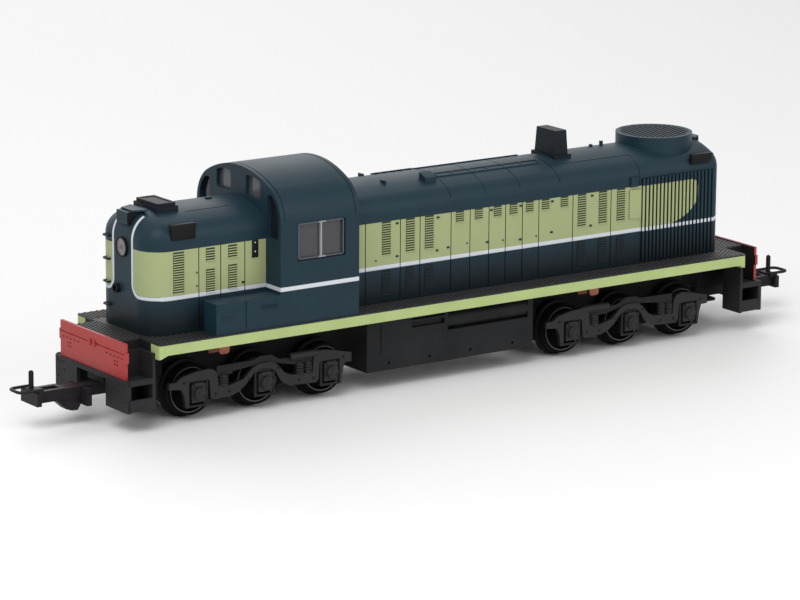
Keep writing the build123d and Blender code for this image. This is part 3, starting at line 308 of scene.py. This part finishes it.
def rib_field(name, x, y):
    """Slanting ribs over a rectangle of the plate, cut off along its edges."""
    length = math.hypot(x[1] - x[0], y[1] - y[0])
    rib = block(name, (-length, length), (-RIB_WIDTH / 2, RIB_WIDTH / 2), (PLATE_TOP - RIB_SINK, RIB_TOP))
    only(rib, lambda face: face.normal.z > 0.9)
    bpy.ops.transform.resize(value=(1, RIB_TAPER, 1))
    settle(rib)
    count = 2 * int(length / RIB_PITCH) + 1
    array = rib.modifiers.new("Rows", "ARRAY")
    array.use_relative_offset = False
    array.use_constant_offset = True
    array.constant_offset_displace = (0, RIB_PITCH * MM, 0)
    array.count = count
    bpy.ops.object.modifier_apply(modifier=array.name)
    shaping(rib)
    bpy.ops.transform.translate(value=(0, -RIB_PITCH * (count - 1) / 2 * MM, 0))
    bpy.ops.transform.rotate(value=-RIB_ANGLE, orient_axis="Z", center_override=(0, 0, 0))
    bpy.ops.transform.translate(value=(sum(x) / 2 * MM, sum(y) / 2 * MM, 0))
    for place, normal in (((x[0], 0), (-1, 0, 0)), ((x[1], 0), (1, 0, 0)),
                          ((0, y[0]), (0, -1, 0)), ((0, y[1]), (0, 1, 0))):
        bpy.ops.mesh.select_all(action="SELECT")
        bpy.ops.mesh.bisect(plane_co=(place[0] * MM, place[1] * MM, 0), plane_no=normal,
                            use_fill=True, clear_outer=True)
    return settle(rib)


tread_black = Finish("tread_black")
# Painted highlight: the rib tops are painted light grey, in cloudy patches and more strongly towards the ends.
rib_highlight = tread_black.z.step(RIB_HIGHLIGHT_ABOVE, 0.05)
sheen_patches = tread_black.noise(3.0)
ends = abs(tread_black.x).step(HIGHLIGHT_END, HIGHLIGHT_FADE)
tread_black.shade(
    Base_Color=tread_black.mix(rib_highlight * (0.2 + ends * 0.5 + sheen_patches * 0.4), colour(11, 11, 12), colour(58, 58, 60)),
    Roughness=0.5 + sheen_patches * 0.15,
    Normal=tread_black.raised(tread_black.noise(0.3), 0.01))
dress(tread_black, "walkway_treads")
fields = []
for x0, x1, inner, outer in WALKWAYS:
    for side in (-1, 1):
        fields.append(rib_field("field", (x0, x1), sorted((side * inner, side * outer))))
for x0, x1, half in PLATFORMS:
    fields.append(rib_field("field", (x0, x1), (-half, half)))
fit(joined("tread_ribs", fields), tread_black)


# ------------------------------------------------------------------ sill bands
# The deck's edges are picked out in light yellow-green. Each band is a strip
# along the moulding with one even coat of paint.
band_green = moulded("band_green", colour(170, 186, 125), 0.45, 0.06)
dress(band_green, "sill_bands")


# ---------------------------------------------------------------- red end sheets
# Each end has a sheet in front of its platform: hinged along a groove, with rows
# of small rivets by both edges. Its front and edges are red, its back is black.
SHEET_FACE = 86.1
SHEET_BACK = 85.46
SHEET_RIVET = (0.2, 0.24)  # radius and height
RED_SHADE_HEIGHT = 12.2
RED_SHADE_WIDTH = 2.2
RED_SHADE_DEPTH = 0.55
RIVETS = [(5.9, 15.45), (7.45, 15.4), (9.0, 15.4), (10.55, 15.4), (12.1, 15.4),  # y, z
          (9.2, 14.4), (10.2, 14.4), (9.2, 13.65), (10.2, 13.65)]


def rivet(name, radius, height, turn="Y"):
    """A rivet with a domed head over the origin, along X, or along Y where turn is X."""
    deselect()
    bpy.ops.mesh.primitive_cylinder_add(vertices=12, radius=radius * MM, depth=height * MM,
                                        location=(0, 0, RAIL_HEAD))
    piece = bpy.context.object
    piece.name = name
    bpy.ops.object.mode_set(mode="EDIT")
    bpy.ops.transform.rotate(value=math.pi / 2, orient_axis=turn, center_override=(0, 0, RAIL_HEAD))
    settle(piece)
    only(piece, lambda face: len(face.vertices) > 4)
    bpy.ops.mesh.bevel(offset=radius * 0.45 * MM, segments=2, affect="EDGES")
    return settle(piece)


red_paint = Finish("red_paint")
fade = red_paint.noise(8.0)
# Painted shade: the red is darkened towards the sheet's bottom edge, above the pilot.
low = 1 - red_paint.z.step(RED_SHADE_HEIGHT, RED_SHADE_WIDTH)
bare = 1 - abs(red_paint.x).step(SHEET_BACK, 0.04)
red = red_paint.mix(fade, colour(156, 37, 36), colour(171, 46, 43))
red = red_paint.mix(low * RED_SHADE_DEPTH, red, colour(138, 23, 25))
red_paint.shade(
    Base_Color=red_paint.mix(bare, red, colour(20, 20, 22)),
    Roughness=0.42 + fade * 0.14,
    Normal=red_paint.raised(red_paint.noise(0.35, 2.0), 0.012))
dress(red_paint, "end_sheet_front", "end_sheet_rear")
dark_red = moulded("dark_red", colour(92, 24, 25), 0.45)
for end, place in ((-1, "front"), (1, "rear")):
    moves = [(end * SHEET_FACE, side * y, z) for y, z in RIVETS for side in (-1, 1)]
    fit(repeated(f"end_rivets_{place}", rivet("rivet", *SHEET_RIVET), moves), dark_red)


# --------------------------------------------------------------------- pilots
# Below the red sheets, grey-black plates with step wells at the corners, where
# crews climb up. They are one moulding with the deck's ends.
pilot_grey = moulded("pilot_grey", colour(36, 36, 38), 0.5)
dress(pilot_grey, "pilot_front", "pilot_rear")
PILOT_FACE = 86.5
PILOT_BOLT = (0.24, 0.24)
PILOT_BOLTS = [(14.1, 9.9), (12.9, 9.75), (11.5, 9.9), (11.3, 8.2), (13.9, 6.4)]  # y, z
for end, place in ((-1, "front"), (1, "rear")):
    moves = [(end * PILOT_FACE, side * y, z) for y, z in PILOT_BOLTS for side in (-1, 1)]
    fit(repeated(f"pilot_bolts_{place}", rivet("bolt", *PILOT_BOLT), moves), chassis_black)


# ------------------------------------------------------------------- couplers
# Hook-and-loop couplers of tough black plastic with a wire bow, sprung to the
# middle. They swing on a pin under the platform.
coupler_black = moulded("coupler_black", colour(27, 24, 27), 0.42)
dress(coupler_black, "coupler_front", "coupler_rear")


# --------------------------------------------------------- tank and reservoirs
# The skirted tank hangs between the trucks, with its air reservoir lying in a
# niche and a barred filler recess.
tank_black = moulded("tank_black", colour(27, 28, 30), 0.5)
dress(tank_black, "tank_skirt", "air_reservoirs")


# ---------------------------------------------------------------------- trucks
# Three-axle trucks in matt black plastic. Gear blocks hide between the wheels;
# the outer frames carry springs, journals and hangers as raised relief.
AXLE_HEIGHT = 5.7
AXLE_PITCH = 17.0
HOLLOW_DEPTH = 13.25
TRUCK_TONE = colour(44, 44, 45)
HOLLOW_SHADE_TONE = colour(16, 16, 17)
HOLLOW_SHADE = 0.75

truck_black = moulded("truck_black", TRUCK_TONE, 0.5)
gear_black = moulded("gear_black", colour(20, 20, 21), 0.55)
contact_copper = Finish("contact_copper")
tarnish = contact_copper.noise(1.6)
contact_copper.shade(Base_Color=contact_copper.mix(tarnish, colour(170, 108, 88), colour(122, 74, 60)),
                     Metallic=0.85, Roughness=0.35 + tarnish * 0.2)
# Painted shade: the side frames are darkened behind their outer face, in the hollows around springs and journals.
hollow_shade = 1 - abs(truck_black.y).step(HOLLOW_DEPTH, 0.3)
truck_black.shade(Base_Color=truck_black.mix(hollow_shade * HOLLOW_SHADE, TRUCK_TONE, HOLLOW_SHADE_TONE))
for place in ("front", "rear"):
    dress(truck_black, f"truck_{place}_sideframe_left", f"truck_{place}_sideframe_right")
    dress(gear_black, f"truck_{place}_frame")
    dress(contact_copper, f"truck_{place}_contacts")

FRAME_FACE = 13.55
FRAME_BOLT = (0.34, 0.3)
COVER_FACE = 14.55
COVER_BOLT = (0.16, 0.2)
COVER_BOLT_REACH = 1.0
COVER_BOLT_TURNS = [math.radians(degrees) for degrees in (90, 210, 330)]
TRUCK_MIDDLES = {"front": -51.0, "rear": 49.0}
FRAME_BOLTS = [(-20.6, 8.4), (-12.7, 4.9), (-9.2, 5.0), (-4.2, 6.9), (3.3, 8.4), (8.7, 5.0),  # x, z
               (12.4, 4.9), (20.3, 8.5)]
bolt_black = moulded("bolt_black", colour(18, 18, 19), 0.5)
for place, middle in TRUCK_MIDDLES.items():
    moves = [(middle + x, side * FRAME_FACE, z) for x, z in FRAME_BOLTS for side in (-1, 1)]
    bolts = [repeated("bolts", rivet("bolt", *FRAME_BOLT, "X"), moves)]
    moves = []
    for axle_x in (-AXLE_PITCH, 0.0, AXLE_PITCH):
        for turn in COVER_BOLT_TURNS:
            moves += [(middle + axle_x + COVER_BOLT_REACH * math.cos(turn), side * COVER_FACE,
                       AXLE_HEIGHT + COVER_BOLT_REACH * math.sin(turn)) for side in (-1, 1)]
    bolts.append(repeated("bolts", rivet("bolt", *COVER_BOLT, "X"), moves))
    fit(joined(f"truck_{place}_bolts", bolts), bolt_black, f"truck_{place}")


# ------------------------------------------------------------------- wheelsets
# Turned metal wheels, chemically blackened, pressed on plain axles. A thin ring
# round each face has stayed bright, and the treads have run a little brighter.
INNER_AXLE = 33.0
MIDDLE_X = -1.0
WHEEL_TREAD_RADIUS = 5.7
RIM_RADIUS = 4.9
RIM_HALF = 0.1

wheel_metal = Finish("wheel_metal")
from_middle = abs(wheel_metal.x - MIDDLE_X) - (INNER_AXLE - AXLE_PITCH / 2)
along = from_middle.math("MODULO", AXLE_PITCH) - AXLE_PITCH / 2
up = wheel_metal.z - AXLE_HEIGHT
radius = (along * along + up * up).root()
rim = radius.within(RIM_RADIUS - RIM_HALF, RIM_RADIUS + RIM_HALF, 0.06)
tread = radius.step(WHEEL_TREAD_RADIUS - 0.12, 0.06)
turning = (radius * 9.0).math("SINE") * 0.5 + 0.5
wheel_metal.shade(
    Base_Color=wheel_metal.mix(rim.most(tread * 0.06), colour(8, 8, 8), colour(96, 94, 90)),
    Metallic=rim * 0.4,
    Roughness=0.5 - rim * 0.12,
    Specular_IOR_Level=0.04,
    Normal=wheel_metal.raised(turning, 0.006))
dress(wheel_metal, *[f"truck_{place}_wheelset_{n}" for place in ("front", "rear") for n in (1, 2, 3)])


# ----------------------------------------------------------------------- hoods
# Hoods and cab are sprayed deep blue-green. A pale green band with a white
# line below it runs round both hoods and leaves the middle of the nose dark.
BAND_TOP = 36.7
LINE_MIDDLE = 26.5
LINE_HALF = 0.43
PIPING_HALF = 0.36
PIPING_Y = 3.9
PIPING_END_X = -75.4
BAND_CORNER = 2.6
PAINT_BLUR = 0.07
BODY_BLUE = colour(28, 48, 58)
BAND_PALE = colour(157, 166, 121)
LINE_WHITE = colour(204, 209, 215)
HOOD_SIDE = 11.0
SEAM_DEPTHS = (HOOD_SIDE - 0.35, HOOD_SIDE - 0.03)
LOUVRE_DEPTHS = (HOOD_SIDE + 0.015, HOOD_SIDE + 0.14)
SEAMS_END = 72.0
FINS_START = 53.4
DOOR_HEIGHTS = (18.8, 37.5)
BLUE_SPREAD = 0.12
PALE_SPREAD = 0.04
PAINTED_SHADE_TONE = colour(10, 14, 18)
GAP_SHADE = 0.92
LOW_SHADE = 0.8
LOW_SHADE_MIDDLE = 23.8
LOW_SHADE_FADE = 6.0
LOW_SHADE_REACH = 12.0


def body_colour(finish, pale, line):
    """Sprayed body colour with masks for its pale band and its white lines."""
    patches = finish.noise(14.0, 2.0)
    blue, green = (finish.mix(patches, tuple(c * (1 - spread) for c in tone), tuple(c * (1 + spread) for c in tone))
                   for tone, spread in ((BODY_BLUE, BLUE_SPREAD), (BAND_PALE, PALE_SPREAD)))
    return finish.mix(line, finish.mix(pale, blue, green), LINE_WHITE)


def sprayed(finish, tone):
    """The rest of the body's paint: satin, with a fine orange-peel skin, painted shade in the door seams and louvre
    gaps, and painted shade low on the hood sides.
    """
    skin = finish.noise(0.45, 2.0)
    sheen = finish.noise(11.0, 2.0)
    across = abs(finish.y)
    # Painted shade: the floors of the door seams and the gaps under the louvre slats are darkened.
    between_ends = abs(finish.x).step(SEAMS_END, 0.1).math("LESS_THAN", 0.5)
    in_seam = across.within(*SEAM_DEPTHS, 0.02) * between_ends
    in_louvre = across.within(*LOUVRE_DEPTHS, 0.02)
    shade_mask = (in_seam.most(in_louvre) * finish.z.within(*DOOR_HEIGHTS, 0.05)) * GAP_SHADE
    # Painted shade: the hood sides, not the cab, darken towards the deck below the white line.
    low = (1 - finish.z.step(LOW_SHADE_MIDDLE, LOW_SHADE_FADE)) * (1 - across.step(LOW_SHADE_REACH, 0.1))
    shade_mask = shade_mask.most(low * LOW_SHADE)
    return finish.shade(
        Base_Color=finish.mix(shade_mask, tone, PAINTED_SHADE_TONE),
        Roughness=0.34 + sheen * 0.14, Specular_IOR_Level=0.14, Normal=finish.raised(skin, 0.008))


hood_paint = Finish("hood_paint")
across = abs(hood_paint.y)
past_y = BAND_CORNER - (across - PIPING_Y)
past_z = BAND_CORNER - (hood_paint.z - LINE_MIDDLE)
reach = (past_y.most(0.0) * past_y.most(0.0) + past_z.most(0.0) * past_z.most(0.0)).root()
edge = reach + past_y.most(past_z).least(0.0) - BAND_CORNER
on_nose = 1 - hood_paint.x.step(PIPING_END_X, PAINT_BLUR)
below_top = 1 - hood_paint.z.step(BAND_TOP, PAINT_BLUR)
half_line = on_nose * (PIPING_HALF - LINE_HALF) + LINE_HALF
line = (1 - (abs(edge) - half_line).step(0.0, PAINT_BLUR)) * below_top.most(on_nose)
pale = (1 - edge.step(-LINE_HALF, PAINT_BLUR)) * below_top
sprayed(hood_paint, body_colour(hood_paint, pale, line))
dress(hood_paint, "short_hood")

long_hood_paint = Finish("long_hood_paint")
above_line = long_hood_paint.z.within(LINE_MIDDLE, BAND_TOP, PAINT_BLUR)
before_fins = 1 - long_hood_paint.x.step(FINS_START, PAINT_BLUR)
line = long_hood_paint.z.within(LINE_MIDDLE - LINE_HALF, LINE_MIDDLE + LINE_HALF, PAINT_BLUR)
sprayed(long_hood_paint, body_colour(long_hood_paint, above_line * before_fins, line))
dress(long_hood_paint, "long_hood")


# -------------------------------------------------------------- radiator fins
# Upright fins at the long hood's end. The band runs on over their outer edges
# and ends in a rounded corner, and the white line crosses them as dashes.
FIN_EDGE = 11.35
GREEN_END = 69.6
GREEN_TURN = 57.5
GREEN_TURN_Z = 33.4
GREEN_TOP_TURN = 2.0

fin_paint = Finish("fin_paint")
out = abs(fin_paint.y).step(FIN_EDGE, 0.02)
along = ((fin_paint.x - GREEN_TURN) / (GREEN_END - GREEN_TURN)).most(0.0)
down = ((GREEN_TURN_Z - fin_paint.z) / (GREEN_TURN_Z - LINE_MIDDLE)).most(0.0)
inside = 1 - (along * along + down * down).root().step(1.0, 0.02)
past_end = (fin_paint.x - (GREEN_END - GREEN_TOP_TURN)).most(0.0)
past_top = (fin_paint.z - (BAND_TOP - GREEN_TOP_TURN)).most(0.0)
inside = inside * (1 - (past_end * past_end + past_top * past_top).root().step(GREEN_TOP_TURN, 0.1))
pale = inside * fin_paint.z.within(LINE_MIDDLE, BAND_TOP, PAINT_BLUR) * out
line = fin_paint.z.within(LINE_MIDDLE - LINE_HALF, LINE_MIDDLE + LINE_HALF, PAINT_BLUR) * out
shadowed = fin_paint.mix(out, tuple(c * 0.35 for c in BODY_BLUE), BODY_BLUE)
sprayed(fin_paint, fin_paint.mix(pale.most(line), shadowed, body_colour(fin_paint, pale, line)))
dress(fin_paint, "radiator_fins_left", "radiator_fins_right")


# ------------------------------------------------------------------------- cab
# A tall round-topped cab across the deck, its white line lower than the hoods'.
# Sliding side windows sit in bright frames, and all panes are smoked plastic.
CAB_LINE = (26.0, 26.9)
CAB_LINE_Y = 11.0
WINDOW_BAR_X = -38.65
BAR_HALF = 0.9

cab_paint = Finish("cab_paint")
line = cab_paint.z.within(*CAB_LINE, PAINT_BLUR) * abs(cab_paint.y).step(CAB_LINE_Y, PAINT_BLUR)
sprayed(cab_paint, body_colour(cab_paint, 0.0, line))
dress(cab_paint, "cab_walls")

plain_paint = Finish("plain_paint")
sprayed(plain_paint, body_colour(plain_paint, 0.0, 0.0))
dress(plain_paint, "cab_roof")

bright_frame = Finish("bright_frame")
brushed = bright_frame.noise(0.6, 2.0)
# Painted shade: the window frames are painted a dark shaded tone, except the middle bar of each side window, which
# keeps the bright metal tone.
bar = bright_frame.x.within(WINDOW_BAR_X - BAR_HALF, WINDOW_BAR_X + BAR_HALF, 0.1)
bright = bright_frame.mix(brushed, colour(132, 135, 140), colour(158, 160, 165))
bright_frame.shade(Base_Color=bright_frame.mix(bar, colour(74, 80, 88), bright), Metallic=0.3, Roughness=0.38)
dress(bright_frame, "window_frames")


def pane(name, tint, cover):
    """Smoked plastic glazing; cover is how much of the inside it hides."""
    finish = Finish(name)
    smear = finish.noise(5.0)
    finish.shade(Base_Color=tint, Roughness=0.08 + smear * 0.1, Alpha=cover + smear * 0.08)
    finish.material.surface_render_method = "BLENDED"
    return finish


SIDE_TINT = colour(62, 61, 66)
END_TINT = colour(82, 85, 90)
PANE_COVER = 0.84
NARROW_PANES_Y = 10.1
dress(pane("side_pane", SIDE_TINT, PANE_COVER), "cab_side_glazing")

end_pane = pane("end_pane", END_TINT, PANE_COVER)
# Painted shade: the narrow end panes at the cab's sides are a darker tint than the front panes of the same glazing.
narrow = abs(end_pane.y).step(NARROW_PANES_Y, 0.2)
end_pane.shade(Base_Color=end_pane.mix(narrow, END_TINT, colour(26, 31, 38)))
dress(end_pane, "cab_end_glazing")


# ----------------------------------------------------------------- door latches
# Small square latches and round catches hold the hoods' doors, with two studs on
# the boxes beside the nose. They are moulded on and painted with the doors.
LATCHES = [(-14.9, 36.0), (-3.9, 36.0), (10.7, 36.0), (18.8, 36.0), (27.7, 36.0), (39.0, 36.0),  # x, z
           (-14.9, 28.6), (-4.1, 28.6), (-1.1, 28.9), (9.6, 28.8), (18.8, 28.3), (27.6, 28.9), (38.7, 29.1),
           (-55.1, 27.9)]
CATCHES = [(-20.5, 28.2), (4.1, 29.2), (14.0, 28.7), (23.3, 28.5), (-66.7, 28.5), (-66.7, 31.4)]  # x, z
LATCH = dict(x=(-0.32, 0.32), y=(-HOOD_SIDE - 0.2, -HOOD_SIDE + 0.05), z=(-0.22, 0.22))
CATCH = (0.2, 0.36)
CAB_SIDE = 16.8
STUD = (0.2, 0.3)
BOX_STUDS = [(-60.9, 23.7), (-52.8, 23.8)]  # x, z

latch = block("latch", LATCH["x"], LATCH["y"], LATCH["z"], 0.06)
catch = rivet("catch", *CATCH, "X")
latches = joined("latches", [repeated("latches", latch, [(x, 0, z) for x, z in LATCHES]),
                             repeated("catches", catch, [(x, -HOOD_SIDE, z) for x, z in CATCHES])])
box_studs = repeated("studs", rivet("stud", *STUD, "X"), [(x, -CAB_SIDE, z) for x, z in BOX_STUDS])
latches = joined("door_latches_right", [latches, box_studs])
fit(other_side("door_latches_left", latches), plain_paint)
fit(latches, plain_paint)


# ----------------------------------------------------------------- black plates
# A small black plate with two white dots on each side of the nose, just ahead of
# the cab. It is a separate moulding, pressed into the hood.
PLATE = dict(x=(-52.8, -51.2), z=(32.9, 36.8))
PLATE_FACE = -HOOD_SIDE - 0.12
DOT = (0.18, 0.12)
PLATE_DOTS = (34.2, 36.2)

plate_black = moulded("plate_black", colour(20, 20, 22), 0.4)
plate = block("cab_plate_right", PLATE["x"], (PLATE_FACE, -HOOD_SIDE + 0.05), PLATE["z"], 0.04)
fit(other_side("cab_plate_left", plate), plate_black)
fit(plate, plate_black)
dot_white = moulded("dot_white", colour(196, 200, 198), 0.4)
dots = repeated("cab_plate_dots_right", rivet("dot", *DOT, "X"),
                [(sum(PLATE["x"]) / 2, PLATE_FACE, z) for z in PLATE_DOTS])
fit(other_side("cab_plate_dots_left", dots), dot_white)
fit(dots, dot_white)


# ------------------------------------------------------------------- grab irons
# Bent wire steps climb one corner of each hood's end. They are pushed into
# drilled holes and painted with the body.
rail_wire = moulded("rail_wire", colour(20, 26, 30), 0.35)
dress(rail_wire, "grab_irons_front", "grab_irons_rear")


# -------------------------------------------------------- boxes, vents and roof
# Boxes beside the nose, strips along the roof and the fan's shroud are painted
# with the body. The nose's top box and the exhaust stack are darker.
dress(plain_paint, "equipment_boxes", "fan_shroud", "roof_strips")
vent_black = moulded("vent_black", colour(19, 25, 31), 0.45)
dress(vent_black, "nose_top_box", "exhaust_stack")


# --------------------------------------------------- lamps, sockets and boards
# A headlight at each end: a ribbed lens in a dark bezel under a visor, with a
# cable socket below it. Blank black number boards sit on the hoods' shoulders.
LENS_CENTRE_Z = 36.4
PUPIL_RADIUS = 0.6
PUPIL_BLUR = 0.14
VISOR_UNDERSIDE = 44.15
VISOR_FLANK = 2.18

board_black = moulded("board_black", colour(12, 11, 13), 0.5)
dress(board_black, "number_boards", "nose_sockets", "headlight_bezels")
NUMBER_PLATE_Y = (-11.25, -10.4)
NUMBER_PLATES = {  # x, z
    "front": ((-73.1, -67.1), (38.95, 42.35)),
    "rear": ((67.6, 73.2), (40.0, 42.3)),
}
for place, (x, z) in NUMBER_PLATES.items():
    fit(block(f"number_plate_{place}", x, NUMBER_PLATE_Y, z, 0.1), board_black)

lens_glass = Finish("lens_glass")
rise = lens_glass.z - LENS_CENTRE_Z
ring = (lens_glass.y * lens_glass.y + rise * rise).root()
ribs = (ring * 14.0).math("SINE") * 0.5 + 0.5
pupil = 1 - ring.step(PUPIL_RADIUS, PUPIL_BLUR)
lens_glass.shade(Base_Color=lens_glass.mix(pupil, colour(98, 88, 94), colour(52, 28, 36)),
                 Roughness=0.18, Coat_Weight=0.6, Normal=lens_glass.raised(ribs, 0.05))
dress(lens_glass, "headlight_lenses")

visor_paint = Finish("visor_paint")
# Painted shade: the block under the visor has its sides darkened where the visor shades them.
flank = abs(visor_paint.y).step(VISOR_FLANK, 0.02) * (1 - visor_paint.z.step(VISOR_UNDERSIDE, 0.04))
sprayed(visor_paint, visor_paint.mix(flank, BODY_BLUE, PAINTED_SHADE_TONE))
dress(visor_paint, "headlight_visors")


# ------------------------------------------------------------------- fan grille
# The radiator fan sits in a round shroud on the roof, closed by parallel bars.
# A dark well and the fan's hub show between them.
grille_paint = moulded("grille_paint", colour(36, 46, 54), 0.45)
dress(grille_paint, "fan_grille")
FAN_X = 65.3
WELL_RADIUS = 8.15
WELL_Z = (44.0, 44.42)
HUB_RADIUS = 1.6
HUB_Z = (44.3, 45.7)
DISC_BEVEL = 0.12


def disc(name, radius, z):
    """A round plate over the fan's middle between two heights, its edges eased."""
    deselect()
    bpy.ops.mesh.primitive_cylinder_add(vertices=48, radius=radius * MM, depth=(z[1] - z[0]) * MM,
                                        location=(FAN_X * MM, 0, sum(z) / 2 * MM + RAIL_HEAD))
    piece = bpy.context.object
    piece.name = name
    settle(piece)
    only(piece, lambda face: len(face.vertices) > 4)
    bpy.ops.mesh.bevel(offset=DISC_BEVEL * MM, segments=2, affect="EDGES")
    return settle(piece)


# The well disc is a near-black sheet standing in for the shade inside the shroud; the hub is the fan's own.
well_black = moulded("well_black", colour(12, 14, 17), 0.7)
well = joined("fan_well", [disc("well", WELL_RADIUS, WELL_Z), disc("hub", HUB_RADIUS, HUB_Z)])
fit(well, well_black)


# ------------------------------------------------------------ motor and weight
# A die-cast block with the motor gives the model its weight. It is closed in
# under the hood, so only a plain cast finish is given.
cast_metal = moulded("cast_metal", colour(62, 62, 64), 0.5)
dress(cast_metal, "motor_and_ballast")


# ------------------------------------------------------ table, lamps and camera
# A plain pale table under three soft studio lamps. The surround is white to the
# camera, in gloss and through glass, and dimmer as a light.
TABLE_SIZE = 8.0
TABLE_TONE = 0.95
deselect()
bpy.ops.mesh.primitive_plane_add(size=TABLE_SIZE, location=(0, 0, 0))
table = bpy.context.object
table.name = "table"
table_white = Finish("table_white")
table_white.shade(Base_Color=(TABLE_TONE, TABLE_TONE, TABLE_TONE), Roughness=0.6)
table.data.materials.append(table_white.material)

SURROUND_LIGHT = 0.34
SURROUND_SEEN = 1.0
world = bpy.context.scene.world or bpy.data.worlds.new("World")
bpy.context.scene.world = world
world.use_nodes = True
sky = world.node_tree
sky_path = sky.nodes.new("ShaderNodeLightPath")
level = sky.nodes.new("ShaderNodeMapRange")
level.inputs["To Min"].default_value = SURROUND_LIGHT
level.inputs["To Max"].default_value = SURROUND_SEEN
seen = sky_path.outputs["Is Camera Ray"]
for ray in ("Is Glossy Ray", "Is Transmission Ray"):
    either = sky.nodes.new("ShaderNodeMath")
    either.operation = "MAXIMUM"
    sky.links.new(seen, either.inputs[0])
    sky.links.new(sky_path.outputs[ray], either.inputs[1])
    seen = either.outputs[0]
sky.links.new(seen, level.inputs["Value"])
background = sky.nodes["Background"]
background.inputs["Color"].default_value = (1, 1, 1, 1)
sky.links.new(level.outputs[0], background.inputs["Strength"])

LAMPS = [  # name, place in metres, aim, size in metres, watts
    ("key", (-0.55, -0.45, 0.85), (0, 0, 0.02), 0.7, 7.4),
    ("side", (0.35, -0.95, 0.45), (0, 0, 0.02), 0.8, 3.4),
    ("back", (0.2, 0.8, 0.7), (0, 0, 0.02), 0.8, 3.2),
]
for name, place, aim, size, watts in LAMPS:
    lamp = bpy.data.lights.new(name, "AREA")
    lamp.size = size
    lamp.energy = watts
    holder = bpy.data.objects.new(name, lamp)
    bpy.context.collection.objects.link(holder)
    facing = (Vector(aim) - Vector(place)).to_track_quat("-Z", "Y")
    holder.matrix_world = Matrix.Translation(Vector(place)) @ facing.to_matrix().to_4x4()

AZIMUTH = math.radians(35.0246)
ELEVATION = math.radians(13.344)
ROLL = math.radians(0.415)
CAMERA_TARGET = (-6.264, 0.0, 15.366)
CAMERA_REACH = 898.245
CAMERA_LENS = 180.56
back = Vector((-math.sin(AZIMUTH) * math.cos(ELEVATION), -math.cos(AZIMUTH) * math.cos(ELEVATION),
               math.sin(ELEVATION)))
right = Vector((math.cos(AZIMUTH), -math.sin(AZIMUTH), 0))
upward = back.cross(right)
across_view = right * math.cos(ROLL) + upward * math.sin(ROLL)
up_view = upward * math.cos(ROLL) - right * math.sin(ROLL)
spot = Vector(CAMERA_TARGET) * MM + back * CAMERA_REACH * MM + Vector((0, 0, RAIL_HEAD))
camera = bpy.data.cameras.new("camera")
camera.lens = CAMERA_LENS
camera.sensor_width = 36.0
camera.clip_start = 0.01
stand = bpy.data.objects.new("camera", camera)
bpy.context.collection.objects.link(stand)
turn = Matrix((across_view, up_view, back)).transposed()
stand.matrix_world = Matrix.Translation(spot) @ turn.to_4x4()
bpy.context.scene.camera = stand
